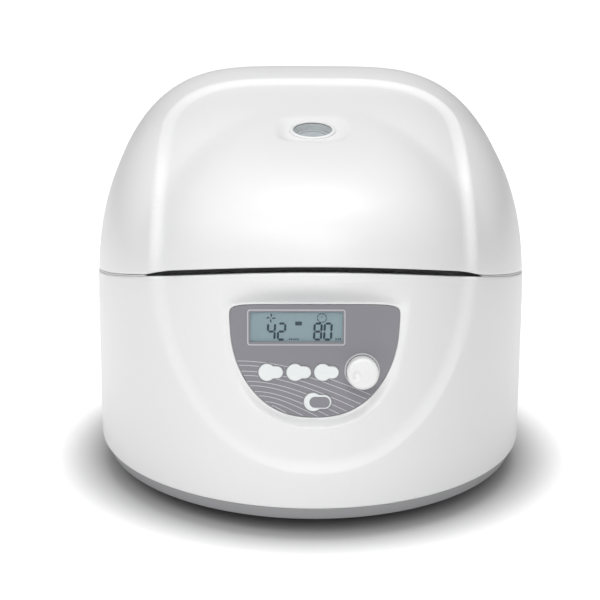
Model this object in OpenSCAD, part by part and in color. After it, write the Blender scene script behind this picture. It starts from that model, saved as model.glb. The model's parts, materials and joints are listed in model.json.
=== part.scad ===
// Microplate centrifuge: a domed bench instrument with a hinged lid and a two-place swing-out rotor.
// Millimetres. X points right, the control panel faces -Y, Z is up, the feet stand on z = 0.

/* [Body] */
// Space from the bowl to the widest point of the housing's side
side_room = 17; // [17:0.5:30]
// Space from the bowl to the housing's front and rear
end_room = 52; // [50:1:70]
// Height over the lid
body_h = 267; // [255:1:285]
// Wall of the moulded housing and lid
wall = 3; // [2.5:0.1:3.5]
// Half width of the sunken front plate that runs over housing and lid
plate_hw = 100; // [95:1:105]
// Depth of that plate
plate_drop = 3.5; // [2:0.1:4]
// Height of the widest line
waist_z = 112; // [106:1:116]
// Height of the lid joint at the sides and rear
seam_side = 127; // [124:0.5:130]
// Rise of the lid joint at the front
seam_rise = 36; // [32:0.5:38]
// Gap at the lid joint
seam_gap = 1.2; // [0.8:0.1:2]

/* [Base] */
// Height of the rubber feet
foot_h = 12; // [10:1:14]
// Lower edge of the white housing
skirt_z = 20; // [18:1:22]
// Radius of a foot
foot_r = 12; // [8:1:15]

/* [Chamber] */
// Inner radius of the steel bowl
bowl_r = 130; // [129:0.5:131]
// Sheet of the bowl
bowl_t = 1.2; // [1:0.1:1.5]
// Height of the bowl floor
bowl_floor_z = 66; // [62:1:69]

/* [Rotor] */
// Height of the swing pivots
pivot_z = 128; // [126:0.5:130]
// Radius of the swing pivots
pivot_r = 56; // [55.5:0.5:57]
// Inner length of a plate carrier
tray_l = 128.6; // [128.2:0.1:129]
// Inner width of a plate carrier
tray_w = 86.4; // [86:0.1:87]
// Depth of the carrier floor below the pivot
tray_drop = 25; // [23:0.5:26]
// Radius of the motor shaft
shaft_r = 4; // [3:0.5:5]

/* [Panel] */
// Lean of the control panel
panel_tilt = 5; // [3:0.5:7]
// Height of the panel's upper edge
panel_top = 141; // [137:0.5:142]
// Height of the panel
panel_h = 67.5; // [64:0.5:68]
// Half width of the panel
panel_hw = 51; // [49:0.5:52]
// Thickness of the panel plate
panel_t = 1.5; // [1.2:0.1:2]
// Radius of the setting knob
knob_r = 9.4; // [8:0.1:11]
// Travel of a key
key_travel = 1; // [0.6:0.1:1.2]

/* [Lid] */
// Radius of the sight window
sight_r = 12.5; // [10:0.5:14]
// Distance of the sight window before the body's middle
sight_y = 60; // [56:1:80]
// Height of the hinge axis
hinge_z = 112; // [111:0.5:112]
// Radius of the rear shoulder around the hinge axis
hinge_r = 15.6; // [15.6:0.1:16]

/* [Hidden] */
$fn = 48;
half_w = bowl_r + side_room;
half_d = bowl_r + end_room;
mid_y = 10;
front_len = half_d + mid_y + plate_drop;
rear_len = half_d - mid_y;
lid_rear_y = half_d - 12;
hinge_y = half_d - 16;
crown_front = body_h - 53.5;
crown_rise = 0.214;
// Share by which the wall draws in from its widest line to its lower edge
taper = 0.006;
shoulder_h = seam_side - hinge_z;
white = [0.94, 0.94, 0.93];
light = [0.88, 0.88, 0.88];
grey = [0.45, 0.45, 0.46];
dark = [0.15, 0.15, 0.16];
steel = [0.75, 0.76, 0.78];
alu = [0.8, 0.81, 0.83];
green = [0.1, 0.35, 0.2];

// Plan outline of the body: half an ellipse in front, a squarer rear.
function plan_r(a, rear) =
    let (s = abs(sin(a)), c = abs(cos(a)), p = cos(a) >= 0 ? 2 : 4.4, reach = cos(a) >= 0 ? front_len : rear)
    pow(pow(s / half_w, p) + pow(c / reach, p), -1 / p);
function ease(t) = let (q = min(1, max(0, t))) q * q * (3 - 2 * q);
dish_lean = 0.07;
function to_front(a) = abs(a > 180 ? a - 360 : a);
function plan_exp(a) = let (f = to_front(a)) 3.65 + 2.6 * (1 - ease(f / 45)) + 0.15 * ease((f - 100) / 60);
function rise_exp(a) = let (f = to_front(a)) 2.6 + 3.6 * (1 - ease(f / 45)) - 0.7 * ease((f - 100) / 60);
function crown(y) = crown_front + crown_rise * (y + half_d);
function seam(y) = seam_side + seam_rise * pow(max(0, 1 - (y + half_d) / 400), 3);
// Depth share of the sunken plate, on the lid and on the housing.
function lid_sink(x, y) =
    ease((1 - pow(abs(x) / plate_hw, 5) - pow(max(0, y + 60) / 97, 4)) / 0.36);
function body_sink(x, z) =
    ease((1 - pow(abs(x) / plate_hw, 2.2) - pow(max(0, seam_side + seam_rise + 3 - z) / 124, 2.1)) / 0.2);
// Soft dish around the sight window.
function dish(x, y) =
    let (q = pow(pow(abs(x) / 25, 4) + pow(abs(y + sight_y + 2) / 26, 4), 0.5))
    (2.2 - dish_lean * (y + sight_y)) * ease(1.5 * (1 - q));

// Gauge of the panel outline and of the recess that leads down to it: 1 on the outline.
function gauge(x, z, hw, top, mid, low, pt) =
    let (w = hw - 0.06 * (top - z), p = z > mid ? pt : 2.4,
        q = z > mid ? pow((z - mid) / (top - mid), pt) : pow((mid - z) / (mid - low), 2))
    pow(pow(abs(x) / w, p) + q, 1 / p);
panel_low = panel_top - panel_h;
function panel_gauge(x, z) = gauge(x, z, panel_hw + 1, panel_top + 1, panel_top - 16, panel_low - 1, 9);
function recess_gauge(x, z) = gauge(x, z, panel_hw + 11, panel_top + 16, panel_top - 12, panel_low - 4, 5);
function recess(x, z) =
    let (g = panel_gauge(x, z), r = recess_gauge(x, z))
    g <= 1 ? 1 : r >= 1 ? 0 : let (b = (1 - r) / ((1 - r) + (g - 1))) b * b * (3 - 2 * b) * 0.6 + b * 0.4;
panel_y = -half_d + 16;
function panel_at(z) = panel_y + (z - panel_top) * tan(panel_tilt);

// One point of the housing wall; inset 0 is the outside, inset = wall the inside.
function body_pt(a, z, inset) =
    let (r0 = plan_r(a, rear_len), ya = mid_y - r0 * cos(a), f = to_front(a),
        n = (z - waist_z) / (crown(ya) - waist_z),
        v = z < waist_z ? 1 - taper * pow((waist_z - z) / (waist_z - skirt_z), 2)
            : pow(1 - pow(n, rise_exp(a)), 1 / plan_exp(a)),
        up = min(hinge_r - 0.01, max(0, z - hinge_z)),
        back = ease((f - 95) / 40) * (hinge_r - sqrt(hinge_r * hinge_r - up * up)),
        r1 = r0 * v - back,
        x1 = r1 * sin(a),
        cut = f < 90 ? plate_drop * body_sink(x1, z) : 0,
        r2 = r1 - cut - inset,
        x2 = r2 * sin(a),
        y2 = mid_y - r2 * cos(a),
        b = f < 60 ? recess(x2, z) : 0,
        y3 = y2 + b * (panel_at(z) + inset * 1.5 - y2))
    [x2, max(y2, y3), z];
function seam_z(a) =
    let (p1 = body_pt(a, seam_side, 0), p2 = body_pt(a, seam(p1[1]), 0), p3 = body_pt(a, seam(p2[1]), 0))
    seam(p3[1]);

// One point of the lid; s runs from 0 at the joint to 1 at the crown.
function lid_pt(a, s, inset, low) =
    let (pa = plan_exp(a), pb = rise_exp(a), r0 = plan_r(a, lid_rear_y - mid_y) ,
        edge = seam_z(a) + seam_gap + low,
        ye = mid_y - r0 * cos(a),
        m0 = max(0.0001, (edge - waist_z) / (crown(ye) - waist_z - inset)),
        mm = pow(0.5, 1 / pb),
        rm = pow(0.5, 1 / pa),
        side = s < 0.5,
        m = side ? m0 + (mm - m0) * sin(180 * s) : pow(1 - pow(rm * cos(180 * (s - 0.5)), pa), 1 / pb),
        rho = side ? pow(1 - pow(m, pb), 1 / pa) : rm * cos(180 * (s - 0.5)),
        x1 = r0 * rho * sin(a),
        y1 = mid_y - r0 * rho * cos(a),
        cut = plate_drop * lid_sink(x1, y1),
        r2 = (r0 - cut - inset) * rho,
        x2 = r2 * sin(a),
        y2 = mid_y - r2 * cos(a),
        z2 = waist_z + (crown(y1) - cut - inset - waist_z) * m - (side ? 0 : dish(x2, y2)))
    [x2, y2, s <= 0 ? edge : z2];

cols = concat([for (i = [-12 : 11]) i * 2], [for (i = [0 : 11]) 24 + i * 3],
    [for (i = [0 : 31]) 60 + i * 7.5], [for (i = [0 : 11]) 300 + i * 3]);
body_rows = [0, 0.075, 0.16, 0.25, 0.305, 0.335, 0.36, 0.4, 0.46, 0.53, 0.6, 0.67, 0.73, 0.785, 0.83, 0.865,
    0.9, 0.93, 0.962, 1];
lid_rows = [0, 0.12, 0.24, 0.34, 0.43, 0.5, 0.57, 0.65, 0.72, 0.79, 0.86, 0.93];

// A closed skin over rings of points that run round the body.
function ring_faces(n, rings) =
    [for (k = [0 : rings - 2], i = [0 : n - 1], t = [0, 1])
        let (j = (i + 1) % n, a = k * n + i, b = k * n + j, c = (k + 1) * n + j, d = (k + 1) * n + i)
        t == 0 ? [a, c, b] : [a, d, c]];

module body_skin() {
    n = len(cols);
    h = len(body_rows);
    outer = [for (u = body_rows, a = cols) body_pt(a, skirt_z + (seam_z(a) - skirt_z) * u, 0)];
    inner = [for (k = [1 : h], a = cols)
        body_pt(a, skirt_z + (seam_z(a) - skirt_z) * body_rows[h - k], wall)];
    close = [for (i = [0 : n - 1], t = [0, 1])
        let (j = (i + 1) % n, m = (2 * h - 1) * n)
        t == 0 ? [m + i, j, m + j] : [m + i, i, j]];
    polyhedron(points = concat(outer, inner), faces = concat(ring_faces(n, 2 * h), close), convexity = 8);
}

module lid_skin() {
    n = len(cols);
    h = len(lid_rows);
    outer = [for (s = lid_rows, a = cols) lid_pt(a, s, 0, 0)];
    inner = [for (k = [1 : h], a = cols) lid_pt(a, lid_rows[h - k], wall, 0)];
    peak = [0, mid_y, crown(mid_y) - plate_drop];
    dip = [0, mid_y, crown(mid_y) - plate_drop - wall];
    o = (h - 1) * n;
    walls = [for (k = [0 : 2 * h - 2], i = [0 : n - 1], t = [0, 1])
        if (k != h - 1)
            let (j = (i + 1) % n, a = k * n + i, b = k * n + j, c = (k + 1) * n + j, d = (k + 1) * n + i)
            t == 0 ? [a, c, b] : [a, d, c]];
    caps = [for (i = [0 : n - 1], t = [0, 1])
        let (j = (i + 1) % n)
        t == 0 ? [o + i, 2 * h * n, o + j] : [o + n + i, o + n + j, 2 * h * n + 1]];
    close = [for (i = [0 : n - 1], t = [0, 1])
        let (j = (i + 1) % n, m = (2 * h - 1) * n)
        t == 0 ? [m + i, j, m + j] : [m + i, i, j]];
    polyhedron(points = concat(outer, inner, [peak, dip]), faces = concat(walls, caps, close), convexity = 8);
}

// Window in the rear wall and deck for a hinge arm.
hinge_x = 62;
arm_w = 25.4;
module hinge_window() for (m = [0, 1]) mirror([m, 0, 0])
    translate([hinge_x - arm_w / 2 - 0.5, hinge_y - 16, hinge_z - 13]) cube([arm_w + 1, 40, 41]);

// Plan outline of the housing's foot, pulled in by inset.
function ring(inset) = [for (a = cols) let (p = body_pt(a, skirt_z, inset)) [p[0], p[1]]];
module slab(inset, z0, h) translate([0, 0, z0]) linear_extrude(h) polygon(ring(inset));

foot_at = [for (s = [-1, 1]) each [[s * (half_w - 75), 92 - half_d], [s * (half_w - 52), half_d - 44]]];
post_at = [[-44, -44], [44, -44], [-44, 44], [44, 44]];
pillar_front = bowl_r + 12.9;
pillar_rear = bowl_r + 25.6;
pillar_at = [for (s = [-1, 1]) each [[s * pillar_front * sin(43), -pillar_front * cos(43)],
    [s * pillar_rear * sin(44), pillar_rear * cos(44)]]];
board_w = 112;
board_l = 72;
board_front = half_d - 122;
board_at = [for (s = [-1, 1], y = [6, board_l - 6]) [s * (board_w / 2 - 6), board_front + y]];
pan_z = foot_h + 2;
plate_z = bowl_floor_z - bowl_t - 10.8;
post_top = plate_z - 14;
board_z = 22;
deck_z = seam_side - 3;
flange_r = bowl_r + 6;

module base_pan() color(grey) difference() {
    union() {
        hull() {
            slab(4.5, foot_h, 0.5);
            slab(1, skirt_z - 0.5, 0.5);
        }
        slab(wall + 0.8, skirt_z - 0.5, 5.5);
    }
    difference() {
        slab(wall + 3, pan_z, 20);
        for (p = post_at) translate([p[0], p[1], 0]) cylinder(r = 9, h = skirt_z + 5);
        for (p = pillar_at) translate([p[0], p[1], 0]) cylinder(r = 8, h = pan_z + 3);
        for (p = board_at) translate([p[0], p[1], 0]) cylinder(r = 4, h = board_z);
    }
    for (p = foot_at) translate([p[0], p[1], 0]) cylinder(r = 2.05, h = 40);
}
module feet() color(dark) for (p = foot_at) translate([p[0], p[1], 0]) difference() {
    cylinder(r1 = foot_r - 2, r2 = foot_r, h = foot_h);
    translate([0, 0, -1]) cylinder(r = 5.5, h = 5);
    translate([0, 0, -1]) cylinder(r = 2.05, h = 20);
}
module base_screws() color(steel) for (p = foot_at) translate([p[0], p[1], 0]) {
    translate([0, 0, 2]) cylinder(r = 4, h = 2);
    translate([0, 0, 2]) cylinder(r = 2, h = pan_z + 3);
    translate([0, 0, pan_z]) cylinder(r = 4, h = 3, $fn = 6);
}
module pillars() color(alu) for (p = pillar_at) translate([p[0], p[1], pan_z + 3]) difference() {
    cylinder(r = 6, h = deck_z - 6 - pan_z);
    translate([0, 0, deck_z - 26 - pan_z]) cylinder(r = 2, h = 30);
}
module deck_screws() color(steel) for (p = pillar_at) translate([p[0], p[1], deck_z]) {
    cylinder(r = 4, h = 2.5);
    translate([0, 0, -15]) cylinder(r = 2, h = 16);
}

// Control panel frame: x across, local z up in the panel plane, local -y out of it.
module panel_frame(x, v) translate([0, panel_y, panel_top]) rotate([-panel_tilt, 0, 0])
    translate([x, 0, v]) children();
function outline_pt(i, grow) =
    let (mid = panel_top - 16, low = mid - panel_low + grow, high = 16 + grow,
        t = i / 24, q = i > 0 ? pow(sin(90 * t), 2) : pow(sin(-90 * t), 2),
        z = i > 0 ? -low * sqrt(q) : high * pow(q, 1 / 9),
        w = panel_hw + grow - 0.06 * (16 - z),
        x = w * pow(max(0, 1 - q), i > 0 ? 1 / 2.4 : 1 / 9))
    [x, (z - 16) / cos(panel_tilt)];
function panel_outline(grow) = concat([for (i = [-24 : 24]) outline_pt(-i, grow)],
    [for (i = [-23 : 23]) let (p = outline_pt(i, grow)) [-p[0], p[1]]]);
module panel_prism(grow, y0, y1) panel_frame(0, 0) translate([0, y1, 0]) rotate([90, 0, 0])
    linear_extrude(y1 - y0) polygon(panel_outline(grow));
module panel_box(x0, x1, v0, v1, y0, y1) panel_frame(0, 0) translate([x0, y0, v0])
    cube([x1 - x0, y1 - y0, v1 - v0]);
module panel_disc(x, v, r, y0, y1) panel_frame(x, v) translate([0, y1, 0]) rotate([90, 0, 0])
    cylinder(r = r, h = y1 - y0);

lcd_x0 = -38.5;
lcd_x1 = 16.8;
lcd_v0 = -22.4;
lcd_v1 = -4.4;
key_v = -40.6;
key_x = [-28.3, -11.6, 4.9];
key_r = 5.2;
key_reach = 9.6;
key_half = 3.7;
start_x = -0.8;
start_v = -58.5;
start_r = 5.6;
start_reach = 11;
start_half = 4.2;
knob_x = 28.4;
knob_v = -39.7;
board_y = wall * 1.5 * cos(panel_tilt);

module housing() color(white) difference() {
    body_skin();
    panel_prism(0.3, -4, panel_t);
    panel_box(-43.5, 43.5, key_v - 6.4, lcd_v1 + 1.8, panel_t - 0.05, 16);
    panel_box(lcd_x0 - 2, lcd_x1 + 2, lcd_v0 - 3.5, lcd_v1 + 1.8, -2, 16);
    panel_box(start_x - 8.6, start_x + 13.4, start_v - 7.1, key_v - 6.3, panel_t - 0.05, 16);
    inlet_space(0.3, 30);
    switch_space(0.3, 30);
    hinge_window();
    for (i = [0 : 8]) translate([38 + i * 7, hinge_y - 10, 38]) cube([3, 40, 26]);
}

function deck_ring() = [for (a = cols) let (p = body_pt(a, deck_z, wall + 0.8)) [p[0], p[1]]];
module deck() color(white) difference() {
    translate([0, 0, deck_z - 3]) linear_extrude(3) polygon(deck_ring());
    translate([0, 0, deck_z - 10]) cylinder(r = bowl_r + bowl_t + 0.2, h = 20, $fn = 96);
    translate([-3, -tongue_y - 5.5, deck_z - 10]) cube([6, 10.2, 20]);
    translate([-45, panel_at(deck_z) - 20, deck_z - 10]) cube([90, board_y + 22.6, 20]);
    hinge_window();
    for (p = pillar_at) translate([p[0], p[1], deck_z - 10]) cylinder(r = 2.05, h = 20);
}

module bowl() color(steel) rotate_extrude($fn = 96) polygon([
    [18.2, bowl_floor_z - bowl_t], [bowl_r - 8, bowl_floor_z - bowl_t], [bowl_r + bowl_t, bowl_floor_z + 8],
    [bowl_r + bowl_t, deck_z], [flange_r, deck_z], [flange_r, deck_z + bowl_t], [bowl_r, deck_z + bowl_t],
    [bowl_r, bowl_floor_z + 8.5], [bowl_r - 8.5, bowl_floor_z], [18.2, bowl_floor_z]]);
liner_z = deck_z + 5.6;
module bowl_seal() color(dark) rotate_extrude($fn = 96) polygon([
    [bowl_r + 1.8, deck_z + bowl_t], [flange_r - 0.2, deck_z + bowl_t], [flange_r - 1, liner_z - 1],
    [flange_r - 2, liner_z - 0.05], [flange_r - 3.4, liner_z - 1]]);

module panel_plate() color(grey) difference() {
    panel_prism(0, 0, panel_t);
    panel_box(lcd_x0, lcd_x1, lcd_v0, lcd_v1, -2, 5);
    for (x = key_x) key_solid(x, key_v, key_r, key_reach, key_half, 0.25, -2, 5);
    key_solid(start_x, start_v, start_r, start_reach, start_half, 0.25, -2, 5);
    panel_disc(knob_x, knob_v, 3.6, -2, 5);
}
module display_window() color([0.6, 0.68, 0.7]) panel_box(lcd_x0, lcd_x1, lcd_v0, lcd_v1, 0.1, panel_t);
module display_module() color(steel) panel_box(lcd_x0 - 1.5, lcd_x1 + 1.5, lcd_v0 - 3, lcd_v1 + 1.2,
    panel_t, board_y);
module display_board() color(green) difference() {
    union() {
        panel_box(-43, 43, key_v - 6, lcd_v1 + 1.4, board_y, board_y + 1.6);
        panel_box(-12, 16, start_v - 5.5, key_v - 5.5, board_y, board_y + 1.6);
    }
    panel_disc(knob_x, knob_v, 3.6, 0, 12);
}
module encoder_body() color(dark) difference() {
    union() {
        panel_box(knob_x - 6.5, knob_x + 6.5, knob_v - 6.5, knob_v + 6.5, board_y + 1.6, board_y + 8);
        panel_disc(knob_x, knob_v, 3.5, -2.6, board_y + 3);
    }
    panel_disc(knob_x, knob_v, 3.05, -5, board_y + 5);
}
module knob_shaft() color(steel) panel_disc(knob_x, knob_v, 3, -9.8, board_y + 4.5);
module knob() color(white) difference() {
    panel_frame(knob_x, knob_v) rotate([90, 0, 0]) rotate_extrude() polygon([
        [0, 0.8], [knob_r, 0.8], [knob_r, 10.2], [knob_r - 0.5, 11.5], [knob_r - 1.6, 12.3],
        [knob_r - 3.6, 12.8], [0, 13]]);
    panel_disc(knob_x, knob_v, 4.6, -3.6, 1);
    panel_disc(knob_x, knob_v, 3, -9.8, 1);
    panel_frame(knob_x - 3.7, knob_v - 0.9) translate([0, -15.8, 0]) sphere(r = 4);
}

// A key: a round end that runs into a longer lobe at its right.
module key_solid(x, v, r, reach, half, grow, y0, y1) {
    panel_disc(x, v, r + grow, y0, y1);
    panel_disc(x + reach - half, v, half + grow, y0, y1);
    panel_box(x, x + reach - half, v - half - grow, v + half + grow, y0, y1);
}
module key(x, v, r, reach, half) color(white) {
    key_solid(x, v, r, reach, half, 0, -1.3, 3);
    key_solid(x, v, r, reach, half, 0.8, panel_t + 0.1, 3);
    panel_disc(x, v, 1.5, 2, board_y - key_travel - 0.1);
}
module key_select() key(key_x[0], key_v, key_r, key_reach, key_half);
module key_pulse() key(key_x[1], key_v, key_r, key_reach, key_half);
module key_door() key(key_x[2], key_v, key_r, key_reach, key_half);
module key_start() key(start_x, start_v, start_r, start_reach, start_half);

// Rear connections.
rear_face = half_d - 2.4;
inlet_x = -62;
switch_x = -22;
rear_z = 46;
module inlet_space(grow, deep) {
    translate([inlet_x - 14 - grow, rear_face - deep, rear_z - 16 - grow])
        cube([28 + 2 * grow, deep + 9, 32 + 2 * grow]);
    translate([inlet_x - 16 - grow, rear_face, rear_z - 18 - grow]) cube([32 + 2 * grow, 9, 36 + 2 * grow]);
}
module switch_space(grow, deep) {
    translate([switch_x - 7 - grow, rear_face - deep, rear_z - 10 - grow])
        cube([14 + 2 * grow, deep + 9, 20 + 2 * grow]);
    translate([switch_x - 8.5 - grow, rear_face, rear_z - 11.5 - grow])
        cube([17 + 2 * grow, 9, 23 + 2 * grow]);
}
module power_inlet() color(dark) difference() {
    union() {
        translate([inlet_x - 14, rear_face - 22, rear_z - 16]) cube([28, 22, 32]);
        translate([inlet_x - 16, rear_face, rear_z - 18]) cube([32, 2.2, 36]);
    }
    translate([inlet_x - 12, rear_face - 16, rear_z - 5]) cube([24, 30, 17]);
    translate([inlet_x - 10, rear_face - 12, rear_z - 13.5]) cube([20, 30, 6.5]);
}
module inlet_pins() color(steel) for (p = [[-7, 2], [0, 5.5], [7, 2]])
    translate([inlet_x + p[0] - 1, rear_face - 16, rear_z + p[1] - 2]) cube([2, 14, 4]);
module fuse_drawer() color(dark) {
    translate([inlet_x - 10, rear_face - 12, rear_z - 13.5]) cube([20, 12, 6.5]);
    translate([inlet_x - 10, rear_face, rear_z - 13.5]) cube([20, 1.6, 6.5]);
}
module switch_frame() color(dark) difference() {
    union() {
        translate([switch_x - 7, rear_face - 18, rear_z - 10]) cube([14, 18, 20]);
        translate([switch_x - 8.5, rear_face, rear_z - 11.5]) cube([17, 1.4, 23]);
    }
    translate([switch_x - 5.8, rear_face - 8, rear_z - 9]) cube([11.6, 20, 18]);
    translate([switch_x - 6.5, rear_face - 1, rear_z]) rotate([0, 90, 0]) cylinder(r = 1.25, h = 13);
}
module power_rocker() color(dark) {
    translate([switch_x - 5.5, rear_face - 1, rear_z]) rotate([90, 0, 90]) linear_extrude(11)
        polygon([[-5, -5], [-1.2, -8.2], [1.2, -8.2], [1.6, 0], [3.2, 8.2], [0.6, 8.6], [-5, 5]]);
    translate([switch_x - 6.3, rear_face - 1, rear_z]) rotate([0, 90, 0]) cylinder(r = 1.2, h = 12.6);
}

// Hinges.
pin_r = 3;
cheek_t = 3;
cheek_x = [hinge_x - arm_w / 2 - 0.8 - cheek_t, hinge_x + arm_w / 2 + 0.8];
bracket_w = cheek_x[1] - cheek_x[0] + cheek_t;
module hinge_brackets() color(steel) for (m = [0, 1]) mirror([m, 0, 0]) difference() {
    union() {
        translate([cheek_x[0], hinge_y - 16, hinge_z - 24]) cube([bracket_w, 2.5, deck_z - 3 - hinge_z + 24]);
        translate([cheek_x[0], hinge_y - 32, deck_z - 5.5]) cube([bracket_w, 18, 2.5]);
        for (x = cheek_x) {
            translate([x, hinge_y, hinge_z]) rotate([0, 90, 0]) cylinder(r = 8.8, h = cheek_t);
            translate([x, hinge_y - 15, hinge_z - 8.8]) cube([cheek_t, 15, 17.6]);
        }
    }
    translate([cheek_x[0] - 5, hinge_y, hinge_z]) rotate([0, 90, 0]) cylinder(r = pin_r, h = 60);
}
module hinge_pins() color(steel) for (m = [0, 1]) mirror([m, 0, 0])
    translate([cheek_x[0] - 1.5, hinge_y, hinge_z]) rotate([0, 90, 0]) cylinder(r = pin_r, h = bracket_w + 3);
// Height of the liner skirt's upper face over the lid's edge
skirt_rise = 4;
arm_top = seam_side + seam_gap + skirt_rise + 0.4;
module hinge_arms() color(alu) for (m = [0, 1]) mirror([m, 0, 0]) difference() {
    union() {
        translate([hinge_x - arm_w / 2, hinge_y, hinge_z]) rotate([0, 90, 0]) cylinder(r = 8.5, h = arm_w);
        translate([hinge_x - 10, hinge_y - 8.5, hinge_z]) cube([20, 6.5, arm_top + 2.5 - hinge_z]);
        translate([hinge_x - arm_w / 2, hinge_y - 26, arm_top]) cube([arm_w, 23.2, 2.5]);
    }
    translate([hinge_x - 30, hinge_y, hinge_z]) rotate([0, 90, 0]) cylinder(r = pin_r + 0.05, h = 60);
}

// Lid.
sight_tilt = 16;
sight_z = crown(-sight_y) - plate_drop - 3;
module sight_axis() translate([0, -sight_y, sight_z]) rotate([sight_tilt, 0, 0]) children();
module lid_shell() color(white) difference() {
    lid_skin();
    sight_axis() translate([0, 0, -30]) cylinder(r = sight_r + 2.6, h = 60);
}
liner_t = 2;
roof_z = crown_front - 5;
// Dome that covers the swinging carriers, and the skirt from its foot to the lid's edge.
module lid_liner() color(light) difference() {
    union() {
        rotate_extrude($fn = 96) polygon([[bowl_r + 1.5, liner_z], [bowl_r + 10.5, liner_z],
            [bowl_r + 10.5, liner_z + liner_t], [bowl_r + 3.3, liner_z + liner_t],
            [bowl_r + 0.8, roof_z - 26], [bowl_r - 4, roof_z - 11], [bowl_r - 18, roof_z + liner_t - 2],
            [bowl_r - 30, roof_z + liner_t], [0, roof_z + liner_t], [0, roof_z], [bowl_r - 30, roof_z],
            [bowl_r - 19, roof_z - 2], [bowl_r - 6, roof_z - 12], [bowl_r - 1.2, roof_z - 26]]);
        liner_skirt();
    }
    sight_axis() translate([0, 0, -60]) cylinder(r = sight_r + 2.6, h = 100);
    for (m = [0, 1]) mirror([m, 0, 0]) translate([hinge_x - 11, hinge_y - 9.5, 100]) cube([22, 8.5, 60]);
}
module liner_skirt() {
    n = len(cols);
    at = [for (a = cols) lid_pt(a, 0, wall + 0.8, skirt_rise)];
    rad = [for (p = at) norm([p[0], p[1]])];
    mid = [for (r = rad) min(bowl_r + 18, r - 1)];
    function out(i, r, z) = [at[i][0] / rad[i] * r, at[i][1] / rad[i] * r, z];
    pts = concat([for (i = [0 : n - 1]) out(i, rad[i], at[i][2] - liner_t)],
        [for (i = [0 : n - 1]) out(i, mid[i], at[i][2] - liner_t)],
        [for (i = [0 : n - 1]) out(i, bowl_r + 11.3, liner_z)],
        [for (i = [0 : n - 1]) out(i, bowl_r + 9.3, liner_z + 2)],
        [for (i = [0 : n - 1]) out(i, mid[i] - liner_t, at[i][2])],
        [for (i = [0 : n - 1]) out(i, rad[i], at[i][2])]);
    faces = [for (k = [0 : 5], i = [0 : n - 1], t = [0, 1])
        let (j = (i + 1) % n, k2 = (k + 1) % 6, a = k * n + i, b = k * n + j, c = k2 * n + j, d = k2 * n + i)
        t == 0 ? [a, b, c] : [a, c, d]];
    polyhedron(points = pts, faces = faces, convexity = 6);
}
module sight_tube() color(light) sight_axis() difference() {
    union() {
        translate([0, 0, -34]) cylinder(r = sight_r + 2.5, h = 35);
        translate([0, 0, -8.4]) cylinder(r = sight_r + 5, h = 1.5);
    }
    translate([0, 0, -40]) cylinder(r = sight_r - 0.8, h = 60);
    translate([0, 0, -1.6]) cylinder(r = sight_r, h = 10);
}
module sight_window() color([0.8, 0.85, 0.88]) sight_axis() translate([0, 0, -1.6]) cylinder(r = sight_r, h = 2);

tongue_y = bowl_r + 11.3;
bolt_r = 2.5;
bolt_hole_r = bolt_r + 0.05;
bolt_z = deck_z - 17;
module striker() color(steel) difference() {
    union() {
        translate([-1.5, -tongue_y - 4.7, bolt_z - 8]) cube([3, 9.4, liner_z - bolt_z + 8]);
        translate([-12, -tongue_y - 1, liner_z - 1.6]) cube([24, 4.6, 1.6]);
    }
    translate([-5, -tongue_y - 3.1, bolt_z - 3.1]) cube([10, 6.2, 6.2]);
}
module latch_frame() color(steel) difference() {
    union() {
        translate([-14, -tongue_y - 8, deck_z - 5]) cube([28, 16, 2]);
        for (x = [-11, 8.5]) translate([x, -tongue_y - 7, bolt_z - 7]) cube([2.5, 14, deck_z - 4 - bolt_z + 7]);
    }
    translate([-20, -tongue_y, bolt_z]) rotate([0, 90, 0]) cylinder(r = bolt_hole_r, h = 40);
    translate([-3, -tongue_y - 5.5, deck_z - 10]) cube([6, 10.2, 20]);
}
module solenoid() color([0.2, 0.25, 0.4]) difference() {
    translate([11, -tongue_y - 7, bolt_z - 7]) cube([46, 14, 14]);
    translate([10, -tongue_y, bolt_z]) rotate([0, 90, 0]) cylinder(r = bolt_hole_r, h = 60);
}
// The bolt is drawn back from the striker: the lid is free.
bolt_travel = 14;
module latch_bolt() color(steel) translate([bolt_travel - 9, -tongue_y, bolt_z]) rotate([0, 90, 0])
    cylinder(r = bolt_r, h = 48);

module lid_screws() color(steel) for (m = [0, 1], x = [54, 70]) mirror([m, 0, 0])
    translate([x, hinge_y - 20, arm_top + 2.5]) cylinder(r = 3.2, h = 2);

// Drive.
module motor_plate() color(alu) difference() {
    union() {
        translate([0, 0, plate_z]) cylinder(r = 56, h = 3);
        for (p = post_at) translate([p[0], p[1], plate_z]) cylinder(r = 12, h = 3);
    }
    translate([0, 0, plate_z - 5]) cylinder(r = 14, h = 12);
    for (p = post_at) translate([p[0], p[1], plate_z - 5]) cylinder(r = 3, h = 12);
}
module isolators() color(dark) for (p = post_at) translate([p[0], p[1], skirt_z + 5])
    cylinder(r = 7, h = plate_z - skirt_z - 5);
module motor_screws() color(steel) for (p = post_at) translate([p[0], p[1], plate_z]) {
    cylinder(r = 3, h = 3);
    translate([0, 0, 3]) cylinder(r = 5.5, h = 3, $fn = 6);
}
can_z = pan_z + 4;
module motor_housing() color(steel) difference() {
    translate([0, 0, can_z]) cylinder(r = 40, h = plate_z - can_z);
    translate([0, 0, can_z + 9]) cylinder(r = 37, h = plate_z - can_z - 18);
    translate([0, 0, can_z + 2]) cylinder(r = 11, h = plate_z - can_z - 4);
    translate([0, 0, can_z + 20]) cylinder(r = 8, h = 60);
}
module motor_bearings() color(steel) for (z = [can_z + 2, plate_z - 9]) translate([0, 0, z]) difference() {
    cylinder(r = 11, h = 7);
    translate([0, 0, -1]) cylinder(r = shaft_r + 0.05, h = 10);
}
module motor_shaft() color(steel) translate([0, 0, can_z + 2.5]) cylinder(r = shaft_r, h = pivot_z + 11 - can_z - 2.5);
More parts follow.
